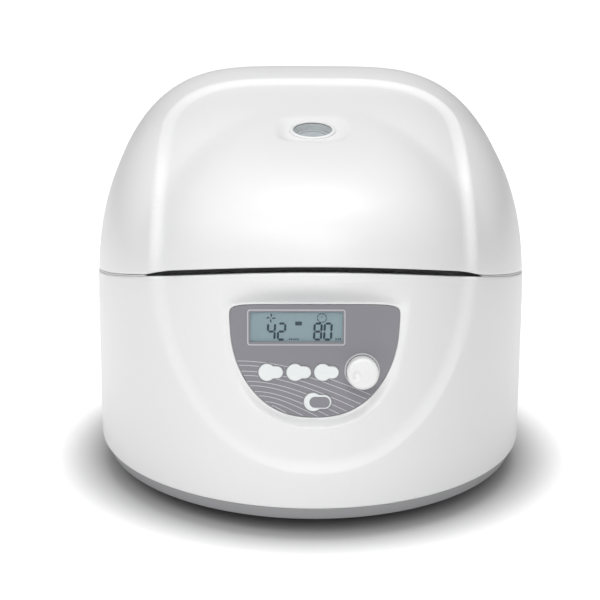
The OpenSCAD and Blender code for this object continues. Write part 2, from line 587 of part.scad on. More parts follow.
module motor_magnet() color(dark) translate([0, 0, can_z + 11]) difference() {
    cylinder(r = 30, h = plate_z - can_z - 22);
    translate([0, 0, -1]) cylinder(r = shaft_r, h = 60);
}
module shaft_boot() color(dark) difference() {
    union() {
        translate([0, 0, plate_z + 3]) cylinder(r = 18, h = bowl_floor_z - plate_z - 2);
        translate([0, 0, bowl_floor_z]) cylinder(r = 23, h = 1.5);
    }
    translate([0, 0, plate_z]) cylinder(r = 16, h = 30);
}
module power_board() color(green) translate([-board_w / 2, board_front, board_z]) cube([board_w, board_l, 1.6]);
module heat_sink() color(alu) {
    translate([-50, board_front + 4, board_z + 1.6]) cube([46, 26, 3]);
    for (i = [0 : 6]) translate([-50, board_front + 4 + i * 4, board_z + 4]) cube([46, 2, 22]);
}
module capacitors() color(dark) for (x = [12, 38])
    translate([x, board_front + 20, board_z + 1.6]) cylinder(r = 11, h = 28);

// Rotor.
tray_t = 1.5;
ear_x = tray_l / 2 + tray_t;
arm_x = ear_x + 1.2;
module rotor_yoke() color(alu) difference() {
    union() {
        translate([0, 0, pivot_z - 30]) cylinder(r = 10, h = 36);
        translate([-arm_x - 1, -8, pivot_z - 13]) cube([2 * arm_x + 2, 16, 15]);
        for (m = [0, 1]) mirror([m, 0, 0]) {
            translate([arm_x, -pivot_r, pivot_z - 8]) cube([5.5, 2 * pivot_r, 16]);
            for (s = [-1, 1]) translate([arm_x, s * pivot_r, pivot_z]) rotate([0, 90, 0]) cylinder(r = 8, h = 5.5);
        }
    }
    translate([0, 0, pivot_z - 40]) cylinder(r = shaft_r, h = 60);
    for (s = [-1, 1]) translate([-100, s * pivot_r, pivot_z]) rotate([0, 90, 0]) cylinder(r = 4, h = 200);
    for (x = [-44, -25, 25, 44]) translate([x, -20, pivot_z - 5.5]) rotate([-90, 0, 0]) cylinder(r = 4.5, h = 40);
}
module rotor_nut() color(steel) difference() {
    translate([0, 0, pivot_z + 6]) union() {
        cylinder(r = 9, h = 3);
        translate([0, 0, 2]) cylinder(r = 7.5, h = 7, $fn = 6);
    }
    translate([0, 0, pivot_z]) cylinder(r = shaft_r, h = 11);
}
module trunnion_pins() color(steel) for (m = [0, 1], s = [-1, 1]) mirror([m, 0, 0])
    translate([tray_l / 2 + 0.2, s * pivot_r, pivot_z]) rotate([0, 90, 0])
        cylinder(r = 4, h = arm_x + 6.5 - tray_l / 2);

// A plate carrier, drawn about its own pivot.
wall_h = 14;
module carrier() difference() {
    union() {
        translate([-ear_x, -tray_w / 2 - tray_t, -tray_drop - 3]) cube([2 * ear_x, tray_w + 2 * tray_t, wall_h + 3]);
        for (m = [0, 1]) mirror([m, 0, 0]) translate([tray_l / 2, 0, 0]) {
            rotate([0, 90, 0]) cylinder(r = 8, h = tray_t);
            rotate([90, 0, 90]) linear_extrude(tray_t) polygon([[-30, -tray_drop + wall_h - 1],
                [30, -tray_drop + wall_h - 1], [8, 0], [-8, 0]]);
        }
    }
    translate([-tray_l / 2, -tray_w / 2, -tray_drop]) cube([tray_l, tray_w, 60]);
    for (x = [-40, 0, 40], y = [-22, 22]) translate([x, y, -40]) cylinder(r = 8, h = 30);
    translate([-100, 0, 0]) rotate([0, 90, 0]) cylinder(r = 4.05, h = 200);
}
module pads() for (x = [-54, 54], y = [-34, 34]) translate([x, y, -tray_drop]) cylinder(r = 4, h = 0.8);
module carrier_a() color(alu) translate([0, -pivot_r, pivot_z]) carrier();
module carrier_b() color(alu) translate([0, pivot_r, pivot_z]) carrier();
module carrier_pads_a() color(dark) translate([0, -pivot_r, pivot_z]) pads();
module carrier_pads_b() color(dark) translate([0, pivot_r, pivot_z]) pads();

base_pan();
feet();
housing();
deck();
bowl();
bowl_seal();
panel_plate();
display_window();
display_module();
display_board();
encoder_body();
latch_frame();
solenoid();
motor_plate();
isolators();
motor_housing();
motor_bearings();
shaft_boot();
power_board();
heat_sink();
capacitors();
power_inlet();
inlet_pins();
fuse_drawer();
switch_frame();
hinge_brackets();
hinge_pins();
pillars();
base_screws();
deck_screws();
motor_screws();
lid_shell();
lid_liner();
sight_window();
sight_tube();
striker();
hinge_arms();
lid_screws();
motor_shaft();
motor_magnet();
rotor_yoke();
rotor_nut();
trunnion_pins();
carrier_a();
carrier_b();
carrier_pads_a();
carrier_pads_b();
knob();
knob_shaft();
key_select();
key_pulse();
key_door();
key_start();
power_rocker();
latch_bolt();
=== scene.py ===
# %% [markdown]
# # Dressing a bench centrifuge
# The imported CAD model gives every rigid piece. This script adds what the eye needs:
# smooth mouldings for the housing and the lid, a printed control panel with its display,
# and a procedural finish for each piece. Everything is in metres, in the frame of the CAD.

# %% Load the frame
import json
import math

import bmesh
import bpy
import numpy as np
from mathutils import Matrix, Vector

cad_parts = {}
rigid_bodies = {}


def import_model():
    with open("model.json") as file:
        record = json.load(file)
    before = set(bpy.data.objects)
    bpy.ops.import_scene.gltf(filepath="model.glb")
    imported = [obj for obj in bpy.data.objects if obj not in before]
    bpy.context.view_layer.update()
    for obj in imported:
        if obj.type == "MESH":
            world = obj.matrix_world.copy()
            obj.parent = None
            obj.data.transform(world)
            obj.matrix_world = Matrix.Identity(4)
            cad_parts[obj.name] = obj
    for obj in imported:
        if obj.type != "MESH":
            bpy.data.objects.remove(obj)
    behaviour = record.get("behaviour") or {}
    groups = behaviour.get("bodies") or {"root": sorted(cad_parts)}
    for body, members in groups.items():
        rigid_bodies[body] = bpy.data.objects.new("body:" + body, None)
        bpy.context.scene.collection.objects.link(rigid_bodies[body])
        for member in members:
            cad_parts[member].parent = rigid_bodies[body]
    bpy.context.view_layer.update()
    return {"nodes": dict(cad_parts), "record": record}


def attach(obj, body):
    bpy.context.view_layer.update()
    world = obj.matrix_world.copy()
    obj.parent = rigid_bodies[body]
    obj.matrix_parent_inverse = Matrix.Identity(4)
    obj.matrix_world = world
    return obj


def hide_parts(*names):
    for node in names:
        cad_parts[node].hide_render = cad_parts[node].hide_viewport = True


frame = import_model()
MM = 0.001

# %% [markdown]
# ## Camera
# The camera stands about 0.9 m in front of the body, above it and a little to the left.
# It looks down and is turned slightly back to the right. The lens comes from a focal length in
# pixels and the picture's width.

# %% Place the camera
IMAGE_WIDTH = 600
CAMERA_PLACE = (-0.018, -1.0825, 0.3374)
CAMERA_PITCH = math.radians(11.926)
CAMERA_YAW = math.radians(0.534)
CAMERA_ROLL = math.radians(0.2)
FOCAL_PIXELS = 1580.9
SENSOR = 36.0
camera_data = bpy.data.cameras.new("camera")
camera_data.sensor_width = SENSOR
camera_data.lens = FOCAL_PIXELS / IMAGE_WIDTH * SENSOR
camera = bpy.data.objects.new("camera", camera_data)
camera.location = CAMERA_PLACE
camera.rotation_euler = (math.pi / 2 - CAMERA_PITCH, -CAMERA_ROLL, -CAMERA_YAW)
bpy.context.collection.objects.link(camera)
bpy.context.scene.camera = camera
print("lens", round(camera_data.lens, 1), "mm")

# %% [markdown]
# ## Materials
# One small function adds a node with its settings and links. Each finish is then written out
# as the real surface: a colour, a roughness, and a pattern whose scale is a real size.
# Nodes keep that scale on any shape and need no unwrapping.

# %% Tools for materials
# Most of a noise texture's values lie between these two.
NOISE_LOW, NOISE_HIGH = 0.3, 0.7
GRAIN_DETAIL = 3.0


def linear(code):
    """Linear colour from an sRGB hex code."""
    parts = [int(code[i:i + 2], 16) / 255 for i in (0, 2, 4)]
    return tuple(p / 12.92 if p <= 0.04045 else ((p + 0.055) / 1.055) ** 2.4 for p in parts) + (1.0,)


def add(tree, kind, links=(), **values):
    """Adds a node, sets its inputs and properties, and links other sockets into it."""
    node = tree.nodes.new(kind)
    for key, value in values.items():
        if key in node.inputs:
            node.inputs[key].default_value = value
        else:
            setattr(node, key, value)
    for socket, source in links:
        tree.links.new(source, node.inputs[socket])
    return node


def new_tree(name):
    """A material with an empty node tree; returns both."""
    material = bpy.data.materials.new(name)
    material.use_nodes = True
    material.node_tree.nodes.clear()
    return material, material.node_tree


def new_material(name, colour, **shader_values):
    """A material with one Principled shader; returns the material, its tree and the shader."""
    material, tree = new_tree(name)
    shader = add(tree, "ShaderNodeBsdfPrincipled")
    shader.inputs["Base Color"].default_value = linear(colour)
    for key, value in shader_values.items():
        shader.inputs[key.replace("_", " ")].default_value = value
    add(tree, "ShaderNodeOutputMaterial", [("Surface", shader.outputs[0])])
    return material, tree, shader


def grain(tree, shader, size_mm, height_mm):
    """Fine surface relief from noise; returns the noise node."""
    where = add(tree, "ShaderNodeTexCoord")
    noise = add(tree, "ShaderNodeTexNoise", [("Vector", where.outputs["Object"])],
                Scale=1 / (size_mm * MM), Detail=GRAIN_DETAIL)
    bump = add(tree, "ShaderNodeBump", [("Height", noise.outputs["Fac"])],
               Strength=1.0, Distance=height_mm * MM)
    tree.links.new(bump.outputs[0], shader.inputs["Normal"])
    return noise


def vary(tree, shader, source, low, high):
    """Lets a noise value move the roughness between low and high."""
    span = add(tree, "ShaderNodeMapRange", [("Value", source)],
               **{"From Min": NOISE_LOW, "From Max": NOISE_HIGH, "To Min": low, "To Max": high})
    tree.links.new(span.outputs["Result"], shader.inputs["Roughness"])


def tint(tree, shader, source, dark, pale):
    """Lets a noise value move the colour between two close shades."""
    ramp = add(tree, "ShaderNodeValToRGB", [("Fac", source)])
    ramp.color_ramp.elements[0].position = NOISE_LOW
    ramp.color_ramp.elements[0].color = linear(dark)
    ramp.color_ramp.elements[1].position = NOISE_HIGH
    ramp.color_ramp.elements[1].color = linear(pale)
    tree.links.new(ramp.outputs["Color"], shader.inputs["Base Color"])


print("grain detail:", GRAIN_DETAIL)

# %% [markdown]
# ## Plastics
# A moulded plastic shows two things: a nearly even colour, and a gloss that the grain of its
# tool breaks up. So each one gets two close shades, a span of roughness, and relief of a few
# micrometres. The finest grains are drawn coarser than real, so that they show.

# %% Plastics
PLASTIC_IOR = 1.46
COAT_ROUGHNESS = 0.25
materials = {}


def plastic(name, dark, pale, rough, size_mm, height_mm, coat=0.0):
    """A moulded, painted or printed plastic with grain of a given size and height."""
    material, tree, shader = new_material(name, pale, Roughness=rough[0], IOR=PLASTIC_IOR,
                                          Coat_Weight=coat, Coat_Roughness=COAT_ROUGHNESS)
    noise = grain(tree, shader, size_mm, height_mm)
    vary(tree, shader, noise.outputs["Fac"], *rough)
    tint(tree, shader, noise.outputs["Fac"], dark, pale)
    materials[name] = material


# ABS from a finely blasted tool: broad, soft highlights on the housing and the lid.
plastic("white_abs", "EEEEEE", "F1F1F1", (0.33, 0.40), 0.45, 0.004)
# ABS from an eroded tool: almost no highlight on the inner mouldings.
plastic("light_abs", "D6D7D8", "DCDDDE", (0.5, 0.6), 0.5, 0.012)
# Grey moulded tray under the body: matt, so it reads as a dark foot.
plastic("base_grey", "A2A2A4", "A9A9AB", (0.45, 0.55), 0.5, 0.012)
# Printed film on the panel: even, smooth and half matt.
plastic("panel_grey", "86858B", "8B8A90", (0.38, 0.46), 0.25, 0.002)
# Moulded rubber: matt nearly all over.
plastic("rubber_black", "191919", "222222", (0.7, 0.85), 0.8, 0.02)
# Moulded nylon: darker and slightly shinier than the rubber.
plastic("black_nylon", "141415", "1B1B1D", (0.42, 0.55), 0.4, 0.012)
# Sprayed enamel on the motor: a thin clear coat and a faint orange peel.
plastic("motor_black", "1C1C1E", "26262A", (0.28, 0.38), 1.2, 0.01, coat=0.4)
# Moulded key caps: a touch cooler than the housing.
plastic("key_white", "EAEEEE", "EEF2F2", (0.35, 0.42), 0.4, 0.003)
# Screen-printed lines: pale, thin and flat.
plastic("pale_ink", "CFCFD3", "D6D6DA", (0.45, 0.5), 0.3, 0.001)
print("plastics:", sorted(materials))

# %% [markdown]
# ## Metals
# A metal's look comes from its colour, its roughness and the marks of making. Zinc-plated sheet
# has a coarse mottle and blasted aluminium a fine one. The bowl is spun, so its marks run round
# the axis: the noise is read by radius and height alone.

# %% Metals


def metal(name, dark, pale, rough, size_mm, height_mm):
    """A plated or anodised metal with an even mottle."""
    material, tree, shader = new_material(name, pale, Metallic=1.0, Roughness=rough[0])
    noise = grain(tree, shader, size_mm, height_mm)
    vary(tree, shader, noise.outputs["Fac"], *rough)
    tint(tree, shader, noise.outputs["Fac"], dark, pale)
    materials[name] = material


metal("zinc_steel", "B4B7B9", "C8CACB", (0.3, 0.42), 2.5, 0.01)
metal("alu_anodised", "BDBFC2", "C9CBCE", (0.34, 0.42), 0.15, 0.006)

SPIN_MARK = 0.4 * MM
SPIN_HEIGHT = 0.006 * MM
spun, tree, shader = new_material("stainless", "C4C6C8", Metallic=1.0, Roughness=0.25)
where = add(tree, "ShaderNodeTexCoord")
split = add(tree, "ShaderNodeSeparateXYZ", [("Vector", where.outputs["Object"])])
x_squared = add(tree, "ShaderNodeMath", [(0, split.outputs["X"]), (1, split.outputs["X"])],
                operation="MULTIPLY")
y_squared = add(tree, "ShaderNodeMath", [(0, split.outputs["Y"]), (1, split.outputs["Y"])],
                operation="MULTIPLY")
total = add(tree, "ShaderNodeMath", [(0, x_squared.outputs[0]), (1, y_squared.outputs[0])],
            operation="ADD")
radius = add(tree, "ShaderNodeMath", [(0, total.outputs[0])], operation="SQRT")
ring_place = add(tree, "ShaderNodeCombineXYZ", [("X", radius.outputs[0]), ("Z", split.outputs["Z"])])
marks = add(tree, "ShaderNodeTexNoise", [("Vector", ring_place.outputs[0])], Scale=1 / SPIN_MARK, Detail=4.0)
relief = add(tree, "ShaderNodeBump", [("Height", marks.outputs["Fac"])], Distance=SPIN_HEIGHT)
tree.links.new(relief.outputs[0], shader.inputs["Normal"])
vary(tree, shader, marks.outputs["Fac"], 0.2, 0.36)
tint(tree, shader, marks.outputs["Fac"], "BDBFC1", "CBCDCF")
materials["stainless"] = spun
print("materials with the metals:", len(materials))

# %% [markdown]
# ## Electronics and display
# A circuit board is green lacquer over square copper tracks, which cells measured along the axes
# suggest. A coil's tape shows as soft bands. The display is a grey-green film, and its marks are
# the same film turned dark.

# %% Electronics and display
LACQUER_IOR = 1.5
TRACK_CELL = 3.5 * MM
TAPE_PITCH = 4.0 * MM
TAPE_HEIGHT = 0.2 * MM
circuit, tree, shader = new_material("circuit_green", "1F5A3A", Roughness=0.35, IOR=LACQUER_IOR)
where = add(tree, "ShaderNodeTexCoord")
tracks = add(tree, "ShaderNodeTexVoronoi", [("Vector", where.outputs["Object"])],
             distance="MANHATTAN", Scale=1 / TRACK_CELL)
tint(tree, shader, tracks.outputs["Distance"], "2C7A4C", "174A2E")
materials["circuit_green"] = circuit

coil, tree, shader = new_material("coil_blue", "1D2838", Roughness=0.45, IOR=LACQUER_IOR)
where = add(tree, "ShaderNodeTexCoord")
turns = add(tree, "ShaderNodeTexWave", [("Vector", where.outputs["Object"])],
            bands_direction="X", Scale=1 / TAPE_PITCH, Distortion=0.3)
tint(tree, shader, turns.outputs["Fac"], "18212F", "2A3A52")
wound = add(tree, "ShaderNodeBump", [("Height", turns.outputs["Fac"])], Distance=TAPE_HEIGHT)
tree.links.new(wound.outputs[0], shader.inputs["Normal"])
materials["coil_blue"] = coil

lcd, tree, shader = new_material("lcd_glass", "93A5AB", Roughness=0.3, IOR=LACQUER_IOR)
speck = grain(tree, shader, 0.35, 0.001)
tint(tree, shader, speck.outputs["Fac"], "8FA1A8", "9DAEB4")
materials["lcd_glass"] = lcd

ink, tree, shader = new_material("lcd_ink", "16303F", Roughness=0.4, IOR=LACQUER_IOR)
speck = grain(tree, shader, 0.3, 0.001)
tint(tree, shader, speck.outputs["Fac"], "132B3A", "1B3747")
materials["lcd_ink"] = ink
print("materials with the electronics:", len(materials))

# %% [markdown]
# ## Clear panes
# The two windows are clear polycarbonate. A full glass shader would darken what lies close
# behind, so a thin pane is see-through with a Fresnel gloss. From inside, a Fresnel node turns
# such a sheet into a mirror, so the refractive index is turned over on back faces.

# %% Clear panes


def pane(name, colour, haze_share, rough, index=1.5):
    """A clear sheet: see-through, with a gloss on its face and a little haze in it."""
    material, tree = new_tree(name)
    clear = add(tree, "ShaderNodeBsdfTransparent", Color=linear(colour))
    gloss = add(tree, "ShaderNodeBsdfGlossy", Roughness=rough)
    side = add(tree, "ShaderNodeNewGeometry")
    ratio = add(tree, "ShaderNodeMapRange", [("Value", side.outputs["Backfacing"])],
                **{"To Min": index, "To Max": 1 / index})
    edge = add(tree, "ShaderNodeFresnel", [("IOR", ratio.outputs["Result"])])
    face = add(tree, "ShaderNodeMixShader",
               [(0, edge.outputs[0]), (1, clear.outputs[0]), (2, gloss.outputs[0])])
    haze = add(tree, "ShaderNodeBsdfDiffuse", Color=linear(colour))
    mix = add(tree, "ShaderNodeMixShader", [(1, face.outputs[0]), (2, haze.outputs[0])])
    mix.inputs[0].default_value = haze_share
    add(tree, "ShaderNodeOutputMaterial", [("Surface", mix.outputs[0])])
    materials[name] = material


pane("clear_pane", "F4F7F8", 0.15, 0.03)
# Matt film over the display: an index near 1 keeps its reflection off the figures.
pane("matt_film", "FAFCFC", 0.005, 0.3, 1.15)
print("all finishes:", len(materials))

# %% [markdown]
# ## Finish of the CAD pieces
# The record names a slot for every piece. The meshes stay as the CAD made them, and only their
# material is exchanged for the finish with that name.

# %% Give every CAD node the finish of its slot
for part in frame["record"]["subparts"]:
    mesh = frame["nodes"][part["node"]].data
    mesh.materials.clear()
    mesh.materials.append(materials[part["material_slot"]])

# %% [markdown]
# ## The moulded form
# Housing and lid are two shells cut from one rounded form, with a sunken plate across both at the
# front. Subdivided cubes could be pushed into this shape, but the joint's two edges wouldn't match.
# So both follow one set of formulas, as in the CAD and in millimetres, sampled much more finely.
# Only the plate's edge is drawn crisper than there.

# %% Sizes of the form
HALF_W = 147.0  # half the width
HALF_D = 182.0  # half the depth
MID_Y = 10.0  # where the plan's front and rear halves meet
DROP = 3.5  # depth of the sunken front plate
PLATE_HW = 100.0  # half the plate's width
FRONT_LEN = HALF_D + MID_Y + DROP  # from the middle to the front, before the plate is sunk
REAR_LEN = HALF_D - MID_Y  # from the middle to the housing's rear
LID_REAR = HALF_D - 12 - MID_Y  # from the middle to the lid's rear
WAIST = 112.0  # height of the widest section, and of the hinge's axis
SKIRT = 20.0  # height of the housing's lower edge
SEAM_SIDE = 127.0  # height of the joint at the sides
SEAM_RISE = 36.0  # how much higher the joint is at the front
GAP = 1.2  # width of the joint
WALL = 3.0  # thickness of the mouldings
HINGE_R = 15.6  # radius of the housing's rear shoulder, round which the lid turns
CROWN = 213.5  # height of the crown line at the front
CROWN_RISE = 0.214  # rise of the crown line toward the rear
TAPER = 0.006  # share by which the housing narrows toward its foot
FRONT_ZONE = 45  # degrees from the front over which the sections are squarer
PLATE_MID_Y = 60.0  # how far in front of the axis its outline on the lid starts to close
PLATE_REACH = 97.0  # how far behind that it has closed
PLATE_FALL = 124.0  # how far below the joint the plate reaches down
SIGHT_Y = 60.0  # the sight window's distance in front of the axis
SIGHT_R = 12.5  # radius of its pane
SIGHT_TILT = math.radians(16)  # how far it leans forward
DISH_X, DISH_Y = 25, 26  # half sizes of the shallow dish round it
DISH_DEPTH = 2.2
DISH_LEAN = 0.07  # how much deeper the dish gets toward the front
PANEL_TOP = 141.0  # height of the control panel's upper edge
PANEL_LOW = 73.5  # height of its lower end
PANEL_HW = 51.0  # half its width at the top
PANEL_NARROWS = 0.06  # loss of half width for each mm further down
PANEL_BEND = 16  # how far below the top its sides start to curve in
PANEL_Y = -HALF_D + 16  # its place behind the front, at the top
TILT = math.radians(5)  # how far it leans back
print("form:", 2 * HALF_W, "wide,", 2 * HALF_D, "deep")

# %% Formulas of the form


def ease(t):
    """Smooth step from 0 to 1."""
    q = np.clip(t, 0, 1)
    return q * q * (3 - 2 * q)


def turned(a):
    """Angle from the front in degrees, 0 to 180."""
    return np.abs((np.degrees(a) + 180) % 360 - 180)


def front_share(a):
    """1 at the front, and 0 past the front zone."""
    return 1 - ease(turned(a) / FRONT_ZONE)


def rear_share(a):
    """0 up to 100 degrees from the front, and 1 from 160 degrees on."""
    return ease((turned(a) - 100) / 60)


def plan_r(a, rear):
    """Reach of the plan at angle a: an ellipse in front, a rounded rectangle at the rear."""
    front = np.cos(a) >= 0
    power = np.where(front, 2.0, 4.4)
    reach = np.where(front, FRONT_LEN, rear)
    return ((np.abs(np.sin(a)) / HALF_W) ** power + (np.abs(np.cos(a)) / reach) ** power) ** (-1 / power)


def plan_exp(a):
    """How square the upright section is, measured across."""
    return 3.65 + 2.6 * front_share(a) + 0.15 * rear_share(a)


def rise_exp(a):
    """How square the upright section is, measured upward."""
    return 2.6 + 3.6 * front_share(a) - 0.7 * rear_share(a)


def crown(y):
    """Height of the crown line."""
    return CROWN + CROWN_RISE * (y + HALF_D)


def seam(y):
    """Height of the joint line: level at the sides, rising toward the front."""
    return SEAM_SIDE + SEAM_RISE * np.maximum(0, 1 - (y + HALF_D) / 400) ** 3


def step_in(t):
    """Share of the sunken plate's depth: a crisp outer edge that runs softly into the plate."""
    q = np.clip(t, 0, 1)
    return 1 - (1 - q) ** 2 * (1 + 0.6 * q)


def lid_sink(x, y):
    """Share of the plate's depth on the lid."""
    behind = np.maximum(0, y + PLATE_MID_Y) / PLATE_REACH
    return step_in((1 - (np.abs(x) / PLATE_HW) ** 5 - behind ** 4) / 0.28)


def body_sink(x, z):
    """Share of the plate's depth on the housing."""
    fall = np.maximum(0, SEAM_SIDE + SEAM_RISE + 3 - z) / PLATE_FALL
    return step_in((1 - (np.abs(x) / PLATE_HW) ** 2.2 - fall ** 2.1) / 0.16)


def dish(x, y):
    """Depth of the shallow dish round the sight window."""
    edge = ((np.abs(x) / DISH_X) ** 4 + (np.abs(y + SIGHT_Y + 2) / DISH_Y) ** 4) ** 0.5
    return (DISH_DEPTH - DISH_LEAN * (y + SIGHT_Y)) * ease(1.5 * (1 - edge))


def gauge(x, z, half, top, mid, low, power):
    """Below 1 inside an outline that narrows downward, with a flat top and a round foot."""
    width = half - PANEL_NARROWS * (top - z)
    upper = z > mid
    side = np.where(upper, power, 2.4)
    rise = np.where(upper, (np.maximum(0, z - mid) / (top - mid)) ** power,
                    (np.maximum(0, mid - z) / (mid - low)) ** 2)
    return ((np.abs(x) / width) ** side + rise) ** (1 / side)


def recess(x, z):
    """Share of the way from the wall back to the panel's own plane."""
    inner = gauge(x, z, PANEL_HW + 1, PANEL_TOP + 1, PANEL_TOP - PANEL_BEND, PANEL_LOW - 1, 9)
    outer = gauge(x, z, PANEL_HW + 11, PANEL_TOP + 16, PANEL_TOP - 12, PANEL_LOW - 4, 5)
    share = np.maximum(0, 1 - outer) / np.maximum(1e-9, np.abs(1 - outer) + np.abs(inner - 1))
    share = np.where(inner <= 1, 1, np.where(outer >= 1, 0, share))
    return share * share * (3 - 2 * share) * 0.6 + share * 0.4


def panel_at(z):
    """The panel's place from front to rear at height z."""
    return PANEL_Y + (z - PANEL_TOP) * math.tan(TILT)


def body_point(a, z, inset=0.0):
    """A point of the housing's wall at angle a and height z."""
    reach = plan_r(a, REAR_LEN)
    f = turned(a)
    n = np.maximum(0, z - WAIST) / (crown(MID_Y - reach * np.cos(a)) - WAIST)
    lean = np.where(z < WAIST, 1 - TAPER * ((WAIST - z) / (WAIST - SKIRT)) ** 2,
                    np.maximum(1e-9, 1 - n ** rise_exp(a)) ** (1 / plan_exp(a)))
    up = np.minimum(HINGE_R - 0.01, np.maximum(0, z - WAIST))
    r = reach * lean - ease((f - 95) / 40) * (HINGE_R - np.sqrt(HINGE_R ** 2 - up ** 2))
    r = r - np.where(f < 90, DROP * body_sink(r * np.sin(a), z), 0) - inset
    x = r * np.sin(a)
    y = MID_Y - r * np.cos(a)
    share = np.where(f < 60, recess(x, z), 0)
    return np.stack([x, np.maximum(y, y + share * (panel_at(z) + inset * 1.5 - y)), z + 0 * x], -1)


def seam_height(a):
    """Height of the joint at angle a, found in three steps because it depends on the wall's place."""
    z = SEAM_SIDE + 0 * a
    for _ in range(3):
        z = seam(body_point(a, z)[..., 1])
    return z


def lid_point(a, s, inset=0.0, lift=0.0):
    """A point of the lid; s runs from 0 at the joint to 1 at the crown."""
    pa, pb, reach = plan_exp(a), rise_exp(a), plan_r(a, LID_REAR)
    edge = seam_height(a) + GAP + lift
    m0 = np.maximum(1e-4, (edge - WAIST) / (crown(MID_Y - reach * np.cos(a)) - WAIST - inset))
    top = 0.5 ** (1 / pb)
    run = 0.5 ** (1 / pa)
    side = s < 0.5
    inward = run * np.cos(np.pi * (s - 0.5))
    m = np.where(side, m0 + (top - m0) * np.sin(np.pi * s),
                 np.maximum(1e-9, 1 - np.maximum(0, inward) ** pa) ** (1 / pb))
    rho = np.where(side, np.maximum(1e-9, 1 - m ** pb) ** (1 / pa), inward)
    x = reach * rho * np.sin(a)
    y = MID_Y - reach * rho * np.cos(a)
    cut = DROP * lid_sink(x, y)
    r = (reach - cut - inset) * rho
    x2 = r * np.sin(a)
    y2 = MID_Y - r * np.cos(a)
    z = WAIST + (crown(y) - cut - inset - WAIST) * m - np.where(side, 0, dish(x2, y2))
    return np.stack([x2, y2, np.where(s <= 0, edge, z)], -1)


print("joint heights, front and side:",
      [round(float(seam_height(np.array(v))), 1) for v in (0.0, math.pi / 2)])

# %% [markdown]
# ## Making meshes
# Every piece here is a few rings of points with quads between them, or a prism over an outline.
# That says exactly where each edge is, which sculpting would not. Shading is smooth up to an
# angle, so that mouldings look round and real edges stay sharp.

# %% Tools for meshes
SHARP_FROM = 40  # degrees between faces from which an edge looks sharp
MERGE = 1e-7  # points closer than this, in metres, are one


def shade(obj, sharp):
    """Smooth shading up to an angle in degrees."""
    obj.data.shade_smooth()
    obj.data.set_sharp_from_angle(angle=math.radians(sharp))


def piece(name, points, faces, material, body, sharp=SHARP_FROM):
    """A mesh piece from points in mm; it rides on a body and is smooth up to an angle."""
    mesh = bpy.data.meshes.new(name)
    mesh.from_pydata((np.asarray(points, float) * MM).tolist(), [], [tuple(f) for f in faces])
    bm = bmesh.new()
    bm.from_mesh(mesh)
    bmesh.ops.remove_doubles(bm, verts=bm.verts, dist=MERGE)
    bmesh.ops.recalc_face_normals(bm, faces=bm.faces)
    bm.to_mesh(mesh)
    bm.free()
    mesh.materials.append(materials[material])
    obj = bpy.data.objects.new(name, mesh)
    bpy.context.collection.objects.link(obj)
    shade(obj, sharp)
    if body:
        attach(obj, body)
    return obj


def lattice(rows, columns, closed=True, start=0):
    """Quads over rows of points; each row is closed into a ring if asked."""
    last = columns if closed else columns - 1
    return [(start + r * columns + c, start + r * columns + (c + 1) % columns,
             start + (r + 1) * columns + (c + 1) % columns, start + (r + 1) * columns + c)
            for r in range(rows - 1) for c in range(last)]


def fan(ring_start, count, centre, inward=False):
    """Triangles from a ring of points to one centre point; inward turns them over."""
    pairs = [(ring_start + c, ring_start + (c + 1) % count) for c in range(count)]
    return [(b, a, centre) if inward else (a, b, centre) for a, b in pairs]


def skin(rows):
    """Points and faces of a closed tube wall from rings listed once round its section."""
    count, columns = len(rows), len(rows[0])
    faces = lattice(count, columns)
    faces += [((count - 1) * columns + c, (count - 1) * columns + (c + 1) % columns,
               (c + 1) % columns, c) for c in range(columns)]
    return np.concatenate(rows), faces


def cut_out(obj, cutters):
    """Cuts the cutters' shapes out of obj and keeps the result as its mesh."""
    for cutter in cutters:
        step = obj.modifiers.new(cutter.name, "BOOLEAN")
        step.operation, step.object, step.solver = "DIFFERENCE", cutter, "EXACT"
    evaluated = obj.evaluated_get(bpy.context.evaluated_depsgraph_get())
    mesh = bpy.data.meshes.new_from_object(evaluated)
    obj.modifiers.clear()
    obj.data = mesh
    for cutter in cutters:
        bpy.data.objects.remove(cutter)
    shade(obj, SHARP_FROM)


def as_drawn(x, y, v):
    """Leaves a point where it is."""
    return (x, y, v)


def on_panel(x, y, v):
    """Place of a point in the panel's own frame: x across, v up, y into the body."""
    return (x, PANEL_Y + y * math.cos(TILT) + v * math.sin(TILT),
            PANEL_TOP - y * math.sin(TILT) + v * math.cos(TILT))


def prism(name, outline, low, high, place=as_drawn, material="white_abs", body=None):
    """A closed prism over an outline in x and v, from depth low to high."""
    n = len(outline)
    points = [place(x, d, v) for d in (low, high) for x, v in outline]
    faces = lattice(2, n) + [tuple(range(n)), tuple(range(2 * n - 1, n - 1, -1))]
    return piece(name, points, faces, material, body)


def block(name, x0, x1, y0, y1, z0, z1):
    """A plain box, used only as a cutter."""
    return prism(name, [(x0, z0), (x1, z0), (x1, z1), (x0, z1)], y0, y1)


print("an edge looks sharp from", SHARP_FROM, "degrees")

# %% Outlines


def rectangle(x0, x1, v0, v1, r=0.0, steps=6):
    """Outline of a rectangle with rounded corners."""
    if r <= 0:
        return [(x0, v0), (x1, v0), (x1, v1), (x0, v1)]
    corners = [(x1 - r, v0 + r, -90), (x1 - r, v1 - r, 0), (x0 + r, v1 - r, 90), (x0 + r, v0 + r, 180)]
    return [(cx + r * math.cos(math.radians(t + 90 * k / steps)),
             cy + r * math.sin(math.radians(t + 90 * k / steps)))
            for cx, cy, t in corners for k in range(steps + 1)]


def disc(r, steps=96):
    """Outline of a circle."""
    return [(r * math.cos(2 * math.pi * k / steps), r * math.sin(2 * math.pi * k / steps))
            for k in range(steps)]


